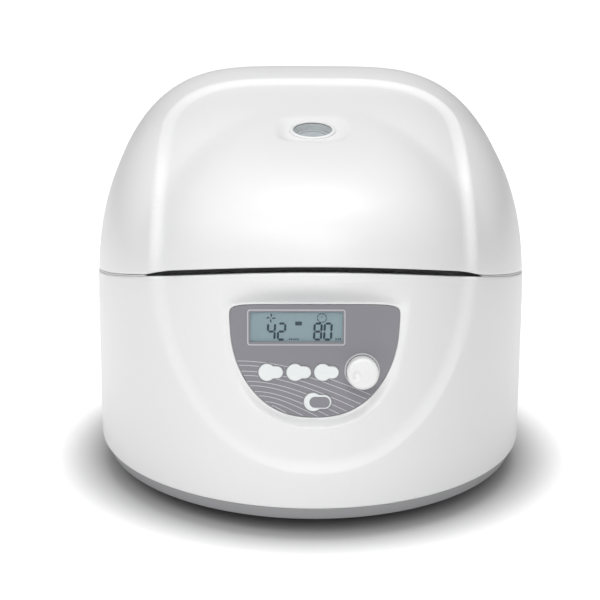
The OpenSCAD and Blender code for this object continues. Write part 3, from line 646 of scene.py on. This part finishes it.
def panel_outline(grow, steps=48):
    """Outline of the control panel: nearly straight top, sides that run down into a round foot."""
    high = PANEL_BEND + grow
    low = PANEL_TOP - PANEL_BEND - PANEL_LOW + grow
    right = []
    for i in range(-steps, steps + 1):
        share = math.sin(math.pi / 2 * abs(i) / steps) ** 2
        z = -low * math.sqrt(share) if i > 0 else high * share ** (1 / 9)
        width = PANEL_HW + grow - PANEL_NARROWS * (PANEL_BEND - z)
        power = 1 / 2.4 if i > 0 else 1 / 9
        right.append((width * max(0, 1 - share) ** power, (z - PANEL_BEND) / math.cos(TILT)))
    return right + [(-x, v) for x, v in right[-2:0:-1]]


print("points round the panel:", len(panel_outline(0)))

# %% [markdown]
# ## Housing
# The housing is one white moulding: a wall with a rounded upper edge, a small radius at its foot
# and openings for the panel, the hinge arms, the vents and the mains inlet. Its rings run from
# the foot up the outside, over the edge and down the inside. Exact booleans then cut the openings.

# %% Columns and edge rounding
# The columns are closer together at the front, where the plate and the recess need them.
columns = np.radians(np.concatenate([np.arange(-30, 30, 0.4), np.arange(30, 330, 1.25)]))
EDGE_R = 1.3
FOOT_R = 0.8
rounding = [math.radians(t) for t in (0, 18, 36, 54, 72, 90)]
print("columns:", len(columns))

# %% Housing wall
OUTER_ROWS, INNER_ROWS = 170, 40
top = seam_height(columns)
rows = [body_point(columns, SKIRT + FOOT_R * (1 - math.cos(t)), FOOT_R * (1 - math.sin(t)))
        for t in rounding]
for share in np.linspace(0, 1, OUTER_ROWS)[1:]:
    rows.append(body_point(columns, SKIRT + FOOT_R + (top - EDGE_R - SKIRT - FOOT_R) * share))
rows += [body_point(columns, top - EDGE_R * (1 - math.sin(t)), EDGE_R * (1 - math.cos(t)))
         for t in rounding[1:]]
for share in np.linspace(1, 0, INNER_ROWS):
    rows.append(body_point(columns, SKIRT + (top - SKIRT) * share, WALL))
housing = piece("housing_moulding", *skin(rows), "white_abs", "base")
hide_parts("housing")
print("housing rings:", len(rows))

# %% Openings of the housing
# The display's window on the panel: left, right, low and high.
LCD = (-38.5, 16.8, -22.4, -4.4)
KEY_V, KEY_X = -40.6, (-28.3, -11.6, 4.9)
KEY_R, KEY_REACH, KEY_HALF = 5.2, 9.6, 3.7
START_X, START_V = -0.8, -58.5
START_R, START_REACH, START_HALF = 5.6, 11.0, 4.2
BEHIND = 200  # past the rear of everything
REAR_FACE, REAR_Z = HALF_D - 2.4, 46.0
WAY_DEPTH = 30
INLET_X, SWITCH_X = -62.0, -22.0
HINGE_X, ARM_W, HINGE_Y = 62.0, 25.4, HALF_D - 16
ARM_SLACK = 0.5
VENTS, VENT_X, VENT_STEP, VENT_W, VENT_Z = 9, 38, 7, 3, (38, 64)


def rear_hole(name, x, half_w, half_h, depth):
    """A box cut into the rear face round (x, REAR_Z)."""
    return block(name, x - half_w, x + half_w, REAR_FACE - depth, BEHIND, REAR_Z - half_h, REAR_Z + half_h)


cutters = [prism("plate_seat", panel_outline(0.35), -6, 1.6, on_panel),
           prism("board_way", rectangle(-43.5, 43.5, KEY_V - 6.4, LCD[3] + 1.8), 1, 16, on_panel),
           prism("start_way", rectangle(START_X - 8.6, START_X + 13.4, START_V - 7.1, KEY_V - 6),
                 1, 16, on_panel),
           rear_hole("inlet_way", INLET_X, 14.3, 16.3, WAY_DEPTH),
           rear_hole("inlet_seat", INLET_X, 16.3, 18.3, 0),
           rear_hole("switch_way", SWITCH_X, 7.3, 10.3, WAY_DEPTH),
           rear_hole("switch_seat", SWITCH_X, 8.8, 11.8, 0)]
for side in (-1, 1):
    x = side * HINGE_X
    cutters.append(block("hinge_way", x - ARM_W / 2 - ARM_SLACK, x + ARM_W / 2 + ARM_SLACK,
                         HINGE_Y - 16, BEHIND, 99, 140))
for i in range(VENTS):
    x = VENT_X + i * VENT_STEP
    cutters.append(block("vent", x, x + VENT_W, HINGE_Y - 10, BEHIND, *VENT_Z))
print("openings:", len(cutters))
cut_out(housing, cutters)
print("housing faces:", len(housing.data.polygons))

# %% [markdown]
# ## Lid
# The lid is a second white moulding: rings from the joint to the crown, outside and inside, that
# end in a fan of triangles. The joint looks wider between the plate's ridges, so the lid's lower
# edge is drawn up there. A black strip inside it is painted shade of the joint, and at the sides a pale lip
# fills it.

# %% Lid
FRONT_GAP, GAP_FROM, GAP_FADE = 2.2, 30, 9  # mm, degrees from the front, and degrees to fade over
FIRST_STEP = 6  # the steps before it lie within the rounded edge and the wider joint
INNER_EVERY, INNER_LAST = 3, 8  # the inside takes every third step, and ends above the last
lid_steps = np.concatenate([np.linspace(0, 0.5, 60)[:-1], np.linspace(0.5, 0.985, 120)])
front_gap = FRONT_GAP * (1 - ease((turned(columns) - GAP_FROM) / GAP_FADE))
rows = [lid_point(columns, 0 * columns, EDGE_R * (1 - math.cos(t)), EDGE_R * (1 - math.sin(t)) + front_gap)
        for t in rounding[::-1]]
rows += [lid_point(columns, s + 0 * columns) for s in lid_steps[FIRST_STEP:]]
inner_rows = [lid_point(columns, s + 0 * columns, WALL) for s in lid_steps[:INNER_LAST:-INNER_EVERY]]
inner_rows.append(lid_point(columns, 0 * columns, WALL, front_gap))
n = len(columns)
outer_points, inner_points = np.concatenate(rows), np.concatenate(inner_rows)
faces = lattice(len(rows), n) + lattice(len(inner_rows), n, start=len(outer_points))
first_inner = len(outer_points)
last_inner = first_inner + len(inner_points) - n
faces += [(last_inner + c, last_inner + (c + 1) % n, (c + 1) % n, c) for c in range(n)]
peak = [0, MID_Y, float(crown(MID_Y)) - DROP]
dip = [0, MID_Y, peak[2] - WALL]
peak_at = first_inner + len(inner_points)
faces += fan((len(rows) - 1) * n, n, peak_at) + fan(first_inner, n, peak_at + 1, inward=True)
points = np.concatenate([outer_points, inner_points, [peak, dip]])
lid = piece("lid_moulding", points, faces, "white_abs", "lid")
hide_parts("lid_shell")
print("lid rings:", len(rows), "outside,", len(inner_rows), "inside")

# %% Painted shade strip and lips of the joint
# A black strip inside the lid's lower edge is painted shade: it makes the joint dark where the gap looks into
# the body.
JOINT_SHADE_SECTION = ((WALL + 0.1, 0.3 + 0 * columns), (WALL + 0.1, 0.8 + front_gap),
                (WALL + 0.6, 0.8 + front_gap), (WALL + 0.6, 0.3 + 0 * columns))
LIP_SECTION = ((0.7, -0.9), (0.7, -0.3), (2.6, -0.3), (2.6, -0.9))
LIP_FROM, LIP_TO = 38, 118  # degrees from the front
joint_shade_rows = [lid_point(columns, 0 * columns, inset, lift) for inset, lift in JOINT_SHADE_SECTION]
piece("joint_shade_strip", *skin(joint_shade_rows), "rubber_black", "lid")
for side in (1, -1):
    arc = side * np.radians(np.arange(LIP_FROM, LIP_TO, 1.0))
    lip = [lid_point(arc, 0 * arc, inset, lift) for inset, lift in LIP_SECTION]
    count = len(arc)
    faces = lattice(4, count, closed=False)
    faces += [(3 * count + c, 3 * count + c + 1, c + 1, c) for c in range(count - 1)]
    faces += [(0, count, 2 * count, 3 * count), (4 * count - 1, 3 * count - 1, 2 * count - 1, count - 1)]
    piece("lid_lip_left" if side < 0 else "lid_lip_right", np.concatenate(lip), faces, "white_abs", "lid")
print("points along a lip:", count)

# %% Hole for the sight window
SIGHT_Z = float(crown(-SIGHT_Y)) - DROP - 3
SIGHT_RIM = 2.6


def on_sight(x, d, y):
    """Place of a point round the sight window's leaning axis; d runs up the axis."""
    return (x, -SIGHT_Y + y * math.cos(SIGHT_TILT) - d * math.sin(SIGHT_TILT),
            SIGHT_Z + y * math.sin(SIGHT_TILT) + d * math.cos(SIGHT_TILT))


cut_out(lid, [prism("sight_way", disc(SIGHT_R + SIGHT_RIM), -30, 30, on_sight)])
print("lid faces:", len(lid.data.polygons))

# %% [markdown]
# ## Base tray
# The grey tray carries the machine and tapers in toward the bench, so that only its band shows.
# It takes the outline of the housing's foot, pulled in by a changing amount, so the two match.

# %% Base tray
FOOT_H, PAN_FLOOR = 12.0, 14.0
LIP_H = 5
# Pairs of inset and height: bottom edge, tapered side, upper edge, lip inside the housing.
PAN_SECTION = [(6.0, FOOT_H), (5.2, FOOT_H), (4.7, FOOT_H + 0.3), (4.4, FOOT_H + 0.9),
               (1.2, SKIRT - 1.2), (1.0, SKIRT - 0.6), (1.2, SKIRT - 0.15), (1.8, SKIRT),
               (3.8, SKIRT), (3.8, SKIRT + LIP_H), (6.0, SKIRT + LIP_H), (6.0, PAN_FLOOR)]


def pan_ring(inset, z, share=1.0):
    """A ring of the base tray: the housing's foot outline, pulled in by inset."""
    ring = body_point(columns, SKIRT + 0 * columns, inset)
    return np.stack([share * ring[:, 0], MID_Y + share * (ring[:, 1] - MID_Y), z + 0 * columns], -1)


rows = [pan_ring(6.0, FOOT_H, 0.5)]
rows += [pan_ring(inset, z) for inset, z in PAN_SECTION]
rows.append(pan_ring(6.0, PAN_FLOOR, 0.5))
points = np.concatenate(rows + [[(0, MID_Y, FOOT_H)], [(0, MID_Y, PAN_FLOOR)]])
n = len(columns)
faces = lattice(len(rows), n) + fan(0, n, len(points) - 2, inward=True)
faces += fan((len(rows) - 1) * n, n, len(points) - 1)
pan = piece("base_moulding", points, faces, "base_grey", "base")
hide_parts("base_pan")
print("base faces:", len(pan.data.polygons))

# %% [markdown]
# ## Keys
# Each key is a round cap with a longer lobe at its right and a rounded edge. It is one outline at
# several insets and depths, so that the rounded edge follows the lobe as well.

# %% Keys
EDGE_FRONT = -0.6  # depth at which the rounded edge starts; a minus is toward the viewer
ROUND_OVER = 0.7
# Pairs of inset and depth: the flange behind the plate and the straight side.
KEY_BACK = [(-0.8, 3.0), (-0.8, 1.62), (0, 1.62), (0, EDGE_FRONT)]


def lobed(r, half, reach, inset, steps=144):
    """Outline of a round key with a longer lobe at its right, pulled in by inset."""
    t = np.linspace(0, 2 * np.pi, steps, endpoint=False)
    c, s, end, h = np.cos(t), np.abs(np.sin(t)), reach - half, half - inset
    flat = h / np.maximum(s, 1e-6)
    round_end = end * c + np.sqrt(np.maximum(0, h * h - (end * s) ** 2))
    lobe = np.where(c > 0, np.where(flat * c <= end, flat, round_end), 0)
    radius = np.maximum(r - inset, lobe)
    return radius * c, radius * np.sin(t)


def key_cap(name, node, body, x0, v0, r, half, reach):
    """A key cap round (x0, v0) that stands for its CAD node."""
    section = KEY_BACK + [(ROUND_OVER * (1 - math.cos(t)), EDGE_FRONT - ROUND_OVER * math.sin(t))
                          for t in np.radians([18, 36, 54, 72, 90])]
    section += [(1.6, -1.38), (2.6, -1.42), (half - 0.2, -1.44)]
    rows = []
    for inset, depth in section:
        xs, vs = lobed(r, half, reach, inset)
        rows.append([on_panel(x0 + x, depth, v0 + v) for x, v in zip(xs, vs)])
    count = len(rows[0])
    points = np.concatenate(rows + [[on_panel(x0, 3.0, v0)], [on_panel(x0 + 1, -1.44, v0)]])
    faces = lattice(len(rows), count) + fan(0, count, len(points) - 2, inward=True)
    faces += fan((len(rows) - 1) * count, count, len(points) - 1)
    cap = piece(name, points, faces, "key_white", body, sharp=50)
    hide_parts(node)


def pill(x, v, half, length):
    """Outline of a lying pill round (x, v)."""
    return [(x + a, v + b) for a, b in rectangle(-length, length, -half, half, half - 0.01, 16)]


for label, x in zip(("select", "pulse", "door"), KEY_X):
    key_cap(label + "_cap", "key_" + label, label + "_key", x, KEY_V, KEY_R, KEY_HALF, KEY_REACH)
key_cap("start_cap", "key_start", "start_key", START_X, START_V, START_R, START_HALF, START_REACH)
prism("start_field", pill(START_X + 3.9, START_V, 3.3, 6.1), -1.5, -1.3, on_panel, "panel_grey", "start_key")

# %% [markdown]
# ## Knob
# The setting knob is a turned form: a plain side, a rounded shoulder and a nearly flat face.
# A lathe of rings makes it, and a finger dimple near its left edge moves the points of the face.
# A thin pale collar lies round its foot.

# %% Knob and its collar
KNOB_X, KNOB_V, KNOB_R = 28.4, -39.7, 9.4
KNOB_FRONT, FILLET, FILLET_DEPTH = 13.0, 2.4, 0.8
DIMPLE_X, DIMPLE_V, DIMPLE_R, DIMPLE_DEPTH = -3.7, -0.9, 3.3, 1.25
FACE_DEPTH = -12  # only points in front of this are on the face
COLLAR_R = 10.1


def dimple(x, v):
    """Depth of the finger dimple near the knob's left edge."""
    off = math.hypot(x - DIMPLE_X, v - DIMPLE_V)
    return DIMPLE_DEPTH * float(ease(1.3 * (1 - off / DIMPLE_R)))


def lathe(name, profile, material, body, dent=None, steps=128):
    """A turned piece round the knob's axis, from (radius, depth) pairs.

    The pairs start and end on the axis, or go round a ring's section.
    """
    rows = []
    for r, depth in profile:
        ring = []
        for k in range(steps):
            x, v = r * math.cos(2 * math.pi * k / steps), r * math.sin(2 * math.pi * k / steps)
            sunk = dent(x, v) if dent and depth < FACE_DEPTH else 0
            ring.append(on_panel(KNOB_X + x, depth + sunk, KNOB_V + v))
        rows.append(ring)
    points, faces = skin(rows) if profile[0][0] > 0 else (np.concatenate(rows), lattice(len(rows), steps))
    return piece(name, points, faces, material, body, sharp=35)


# The bore for the shaft, the foot and the side.
profile = [(0.0, -9.8), (3.0, -9.8), (3.0, -3.6), (4.6, -3.6), (4.6, -0.8), (KNOB_R - 0.4, -0.8),
           (KNOB_R, -1.2)]
profile += [(KNOB_R - FILLET * (1 - math.cos(t)),
             -(KNOB_FRONT - FILLET * FILLET_DEPTH) - FILLET * FILLET_DEPTH * math.sin(t))
            for t in np.radians(np.arange(0, 91, 7.5))]
profile += [(r, -KNOB_FRONT - 0.15 * (1 - (r / 7) ** 2)) for r in np.linspace(KNOB_R - FILLET, 0, 32)[1:]]
knob = lathe("knob_cap", profile, "white_abs", "setting_knob", dimple)
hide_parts("knob")
collar = [(COLLAR_R + 0.5 * math.cos(t), 0.05 - 0.6 * math.sin(t)) for t in np.radians(np.arange(0, 181, 20))]
lathe("knob_collar", collar, "pale_ink", "base")
print("knob faces:", len(knob.data.polygons))

# %% [markdown]
# ## Printed lines
# The panel's film carries thin curved lines, printed in pairs, that sweep down to the right and
# stop short of the keys. Each is a hyperbola's arm, level where it starts at the left edge. It is
# walked in small steps and broken wherever a key takes the place of the print. The strips are a
# few hundredths of a millimetre thick, as geometry, so that they export with the part.

# %% Printed lines
LINES, LINE_W, LINE_STEP, LINE_SLOPE = 10, 0.34, 0.5, 0.57
FIRST_V, PAIR_STEP, IN_PAIR = -33.8, 6.15, 2.6
FIRST_BEND, BEND_STEP = 70.6, 7.65
PRINT_LOW, PRINT_HIGH = -0.05, 0.02
PRINT_CLEAR = 0.35
KEYS = [(x, KEY_V, KEY_R, KEY_HALF, KEY_REACH) for x in KEY_X]
KEYS.append((START_X, START_V, START_R, START_HALF, START_REACH))


def on_key(x, v, grow):
    """True where a key or the knob's collar takes the place of the print."""
    if math.hypot(x - KNOB_X, v - KNOB_V) < COLLAR_R + 0.3 + grow:
        return True
    for x0, v0, r, half, reach in KEYS:
        along = min(max(x - x0, 0), reach - half)
        if math.hypot(x - x0, v - v0) < r + grow or math.hypot(x - x0 - along, v - v0) < half + grow:
            return True
    return False


def side_of(edge, sign):
    """The left (-1) or right (1) half of an outline, sorted upward."""
    half = edge[edge[:, 0] * sign > 0]
    return half[np.argsort(half[:, 1])]


def across_at(half, v):
    """Where half an outline lies across, at height v."""
    return np.interp(v, half[:, 1], half[:, 0])


edge = np.array(panel_outline(-0.4))
left_edge, right_edge = side_of(edge, -1), side_of(edge, 1)
strips = 0
for k in range(LINES):
    v_start = FIRST_V - PAIR_STEP * (k // 2) - IN_PAIR * (k % 2)
    x_start = float(across_at(left_edge, v_start))
    bend, run = FIRST_BEND - BEND_STEP * k, []
    for x in np.arange(x_start, 50, LINE_STEP):
        reach = math.hypot(x - x_start, bend)
        v = v_start - LINE_SLOPE * (reach - bend)
        slope = LINE_SLOPE * (x - x_start) / max(0.1, reach)
        outside = v < edge[:, 1].min() or x > across_at(right_edge, v) or x < across_at(left_edge, v) - 0.01
        if outside or on_key(x, v, PRINT_CLEAR):
            if len(run) > 2:
                outline = [(a, b + w) for a, b, w in run] + [(a, b - w) for a, b, w in reversed(run)]
                prism("line_%d" % strips, outline, PRINT_LOW, PRINT_HIGH, on_panel, "pale_ink", "base")
                strips += 1
            run = []
            if outside and x > x_start + 1:
                break
        else:
            run.append((x, v, LINE_W / 2 * math.hypot(1, slope)))
print("printed strips:", strips)

# %% [markdown]
# ## Display
# The display is a grey-green sheet behind a clear window, with a pale printed frame. Its dark
# marks are layers between the two, because marks in the window's own plane would flicker against
# it. The figures are built from seven bars, as such displays build them.

# %% Frame and window of the display


def border(name, outer, inner, low, high, material):
    """A flat closed frame between two outlines on the panel."""
    rows = [[on_panel(x, d, v) for x, v in line] for line, d in
            ((outer, low), (outer, high), (inner, high), (inner, low))]
    return piece(name, *skin(rows), material, "base")


# The window is a little thinner than its seat, so the marks have air round them.
WINDOW_SLACK = 0.02
window = prism("display_pane",
               rectangle(LCD[0] + WINDOW_SLACK, LCD[1] - WINDOW_SLACK,
                         LCD[2] + WINDOW_SLACK, LCD[3] - WINDOW_SLACK, 0.3),
               0.12, 1.1, on_panel, "matt_film", "base")
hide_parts("display_window")
border("display_frame", rectangle(-40.0, 18.2, -24.4, -3.0, 1.6),
       rectangle(-39.5, 17.7, -23.9, -3.5, 1.1), PRINT_LOW, PRINT_HIGH, "pale_ink")
print("display window:", round(LCD[1] - LCD[0], 1), "by", round(LCD[3] - LCD[2], 1), "mm")

# %% Figures of the display
INK_LOW, INK_HIGH = 1.32, 1.46
DIGIT_W, DIGIT_H, STROKE, LEAN = 4.1, 9.6, 1.35, 0.05
BAR_END = 0.12  # how much shorter an upright bar is at each end
FIGURE_V = LCD[2] + 1.3
LIT = {"0": "abcdef", "2": "abged", "4": "fbgc", "8": "abcdefg"}
FIGURES = (("left_1", -28.1, "4"), ("left_2", -22.0, "2"), ("right_1", -0.4, "8"), ("right_2", 5.6, "0"))


def mark(name, outline):
    """A dark mark of the display."""
    return prism(name, outline, INK_LOW, INK_HIGH, on_panel, "lcd_ink", "base")


def digit(name, x, v, figure):
    """A seven-segment figure with its lower left corner at (x, v)."""
    w, h, t = DIGIT_W, DIGIT_H / 2, STROKE / 2
    b = 0.4 * t
    bars = {"a": (b, 2 * h, w - b, 2 * h), "g": (b, h, w - b, h), "d": (b, 0, w - b, 0),
            "f": (0, h, 0, 2 * h), "b": (w, h, w, 2 * h), "e": (0, 0, 0, h), "c": (w, 0, w, h)}
    for bar in LIT[figure]:
        x0, v0, x1, v1 = bars[bar]
        if v0 == v1:
            outline = [(x0, v0), (x0 + t, v0 - t), (x1 - t, v0 - t), (x1, v0), (x1 - t, v0 + t),
                       (x0 + t, v0 + t)]
        else:
            v0, v1 = v0 + BAR_END, v1 - BAR_END
            outline = [(x0, v0), (x0 + t, v0 + t), (x0 + t, v1 - t), (x0, v1), (x0 - t, v1 - t),
                       (x0 - t, v0 + t)]
        mark(name + "_" + bar, [(x + a + LEAN * b, v + b) for a, b in outline])


for label, x, figure in FIGURES:
    digit("figure_" + label, x, FIGURE_V, figure)
print("figures:", "".join(figure for label, x, figure in FIGURES))

# %% Small marks of the display
FAN_X, FAN_V, CLOCK_X, CLOCK_V, ICON_R = -26.0, -8.2, 4.3, -8.2, 2.9
BLADE = [(0.7, -0.25), (1.5, -0.6), (2.3, -0.5), (ICON_R, 0.35), (2.2, 0.25), (1.4, 0.2), (0.8, 0.25)]
CLOCK_BARS, CLOCK_LINE = 8, 0.5
UNITS = (("left_unit", -15.2, 5), ("right_unit", 12.4, 3))
UNIT_STEP, UNIT_W = 1.25, 0.7


def clock_point(r, t):
    """A point of the clock mark at radius r and angle t."""
    return (CLOCK_X + r * math.cos(t), CLOCK_V + r * math.sin(t))


mark("bar_mark", rectangle(-11.6, -7.6, -12.6, -10.3, 0.3))
for k in range(4):
    turn = math.pi / 2 * k
    mark("fan_%d" % k, [(FAN_X + a * math.cos(turn) - b * math.sin(turn),
                         FAN_V + a * math.sin(turn) + b * math.cos(turn)) for a, b in BLADE])
for k in range(CLOCK_BARS):
    arc = [math.radians(45 * k + 5 + 35 * i / 6) for i in range(7)]
    outline = [clock_point(ICON_R, t) for t in arc]
    outline += [clock_point(ICON_R - CLOCK_LINE, t) for t in reversed(arc)]
    mark("clock_%d" % k, outline)
mark("clock_hand", rectangle(CLOCK_X - 0.2, CLOCK_X + 0.2, CLOCK_V + 0.1, CLOCK_V + 1.2))
for group, x, count in UNITS:
    for k in range(count):
        mark("%s_%d" % (group, k), rectangle(x + UNIT_STEP * k, x + UNIT_STEP * k + UNIT_W,
                                             FIGURE_V - 0.3, FIGURE_V + 0.7))
print("small marks:", 2 + 4 + CLOCK_BARS + sum(count for group, x, count in UNITS))

# %% [markdown]
# ## Sight window
# The port in the lid has a white rim, a black gasket round its pane and, deeper in the tube, a
# few stepped rings. Each is one section turned round the port's leaning axis.

# %% Rings of the sight window
INNER = SIGHT_R - 0.85  # inner radius of the tube
RING_H = 0.6
RIM_SECTION = [(SIGHT_R + 0.75, 0.6), (SIGHT_R + 0.8, 1.1), (SIGHT_R + 1.1, 1.35), (SIGHT_R + 2.1, 1.25),
               (SIGHT_R + 2.55, 0.9), (SIGHT_R + 2.55, 0.6)]
GASKET_SECTION = [(SIGHT_R - 0.1, 0.3), (SIGHT_R - 0.1, 0.65), (SIGHT_R + 0.2, 0.8), (SIGHT_R + 0.74, 0.8),
                  (SIGHT_R + 0.74, 0.3)]
# Name, outer radius, inner radius, height of the upper face and finish of each inner ring.
INNER_RINGS = (("sight_seal", INNER, INNER - 0.8, -3.7, "rubber_black"),
               ("sight_ledge", INNER - 0.8, INNER - 2.0, -3.4, "white_abs"),
               ("sight_groove", INNER - 2.0, INNER - 2.5, -3.9, "rubber_black"),
               ("sight_lens", INNER - 2.5, 0.05, -4.0, "light_abs"))


def sight_ring(name, section, material):
    """A ring round the port's axis from pairs of radius and height."""
    angles = np.linspace(0, 2 * np.pi, 128, endpoint=False)
    rows = [[on_sight(r * math.cos(t), d, r * math.sin(t)) for t in angles] for r, d in section]
    return piece(name, *skin(rows), material, "lid")


sight_ring("sight_rim", RIM_SECTION, "white_abs")
sight_ring("sight_gasket", GASKET_SECTION, "rubber_black")
for name, outer_r, inner_r, depth, material in INNER_RINGS:
    flat = [(inner_r, depth - RING_H), (outer_r, depth - RING_H), (outer_r, depth), (inner_r, depth)]
    sight_ring(name, flat, material)
print("rings of the sight window:", 2 + len(INNER_RINGS))

# %% [markdown]
# ## Floor
# The body stands on pale paper, which glows for the eye alone: it is white far away without any
# more light on the object. Close to the body the glow fades as painted shade, and an oval of darker
# paper colour is a painted contact shadow, soft like that of a studio picture.

# %% Floor
FLOOR_HALF = 40.0
# Size of the oval of painted contact shadow round the body.
SHADE_WIDTH, SHADE_DEPTH = HALF_W, 185.0  # half axes of the oval, in mm
SHADE_FROM, SHADE_TO = 0.82, 1.42  # as shares of the half axes
GLOW_FROM, GLOW_TO, GLOW_NEAR = 1.1, 2.4, 0.55
floor_mesh = bpy.data.meshes.new("floor")
floor_mesh.from_pydata([(-FLOOR_HALF, -FLOOR_HALF, 0), (FLOOR_HALF, -FLOOR_HALF, 0),
                        (FLOOR_HALF, FLOOR_HALF, 0), (-FLOOR_HALF, FLOOR_HALF, 0)], [], [(0, 1, 2, 3)])
floor = bpy.data.objects.new("floor", floor_mesh)
bpy.context.collection.objects.link(floor)
paper, tree = new_tree("white_paper")
path = add(tree, "ShaderNodeLightPath")
seen = add(tree, "ShaderNodeMath", [(0, path.outputs["Is Camera Ray"]), (1, path.outputs["Is Glossy Ray"])],
           operation="MAXIMUM")
visible = add(tree, "ShaderNodeMath", [(0, seen.outputs[0]), (1, path.outputs["Is Transmission Ray"])],
              operation="MAXIMUM")
spot = add(tree, "ShaderNodeNewGeometry")
centred = add(tree, "ShaderNodeVectorMath", [(0, spot.outputs["Position"])], operation="SUBTRACT")
centred.inputs[1].default_value = (0, MID_Y * MM, 0)
shrunk = add(tree, "ShaderNodeVectorMath", [(0, centred.outputs[0])], operation="DIVIDE")
shrunk.inputs[1].default_value = (SHADE_WIDTH * MM, SHADE_DEPTH * MM, 1)
away = add(tree, "ShaderNodeVectorMath", [(0, shrunk.outputs[0])], operation="LENGTH")
painted_shadow_share = add(tree, "ShaderNodeMapRange", [("Value", away.outputs["Value"])], interpolation_type="SMOOTHSTEP",
           **{"From Min": SHADE_FROM, "From Max": SHADE_TO, "To Min": 0.0, "To Max": 1.0})
# The glow is weaker close to the body: painted shade.
glow_dimmed_as_painted_shade = add(tree, "ShaderNodeMapRange", [("Value", away.outputs["Value"])], interpolation_type="SMOOTHSTEP",
            **{"From Min": GLOW_FROM, "From Max": GLOW_TO, "To Min": GLOW_NEAR, "To Max": 1.0})
# Painted contact shadow: the paper's colour turns darker inside the oval round the body.
painted_shadow_tone = add(tree, "ShaderNodeMixRGB", [("Fac", painted_shadow_share.outputs["Result"])])
painted_shadow_tone.inputs[1].default_value = linear("9A9A9A")
painted_shadow_tone.inputs[2].default_value = linear("F2F2F2")
matt = add(tree, "ShaderNodeBsdfDiffuse", [("Color", painted_shadow_tone.outputs[0])])
glow_with_painted_shade = add(tree, "ShaderNodeMath", [(0, glow_dimmed_as_painted_shade.outputs["Result"]), (1, painted_shadow_share.outputs["Result"])],
           operation="MULTIPLY")
shown = add(tree, "ShaderNodeMath", [(0, glow_with_painted_shade.outputs[0]), (1, visible.outputs[0])], operation="MULTIPLY")
glow = add(tree, "ShaderNodeEmission", [("Strength", shown.outputs[0])])
both = add(tree, "ShaderNodeAddShader", [(0, matt.outputs[0]), (1, glow.outputs[0])])
add(tree, "ShaderNodeOutputMaterial", [("Surface", both.outputs[0])])
floor_mesh.materials.append(paper)
print("floor glow near the body:", GLOW_NEAR)

# %% [markdown]
# ## World and lamps
# A lamp in front and a stronger one overhead give the body its even white, and two weaker ones at
# the left model its round sides. All are large, because small lamps leave hard spots on satin
# plastic. The world adds a little light, and is plain white only where the camera looks at it.

# %% World and lamps
ROOM_LIGHT = 0.18
AIM = (0, 0, 0.12)
scene = bpy.context.scene
scene.view_settings.view_transform = "Standard"
world = bpy.data.worlds.new("studio")
scene.world = world
world.use_nodes = True
tree = world.node_tree
tree.nodes.clear()
path = add(tree, "ShaderNodeLightPath")
room = add(tree, "ShaderNodeBackground", Color=(1, 1, 1, 1), Strength=ROOM_LIGHT)
white = add(tree, "ShaderNodeBackground", Color=(1, 1, 1, 1), Strength=1.0)
choice = add(tree, "ShaderNodeMixShader",
             [(0, path.outputs["Is Camera Ray"]), (1, room.outputs[0]), (2, white.outputs[0])])
add(tree, "ShaderNodeOutputWorld", [("Surface", choice.outputs[0])])


def lamp(name, place, size, power):
    """A square lamp that points at the middle of the body; size in metres, power in watts."""
    data = bpy.data.lights.new(name, "AREA")
    data.shape, data.size, data.energy = "SQUARE", size, power
    obj = bpy.data.objects.new(name, data)
    obj.location = place
    obj.rotation_euler = (Vector(AIM) - Vector(place)).to_track_quat("-Z", "Y").to_euler()
    bpy.context.collection.objects.link(obj)


lamp("front", (0.12, -1.75, 1.05), 1.2, 14)
lamp("key", (-0.95, -1.25, 1.4), 1.0, 7)
lamp("left", (-1.6, -0.3, 1.2), 1.0, 2.5)
lamp("top", (0.1, -0.1, 2.1), 1.4, 21)
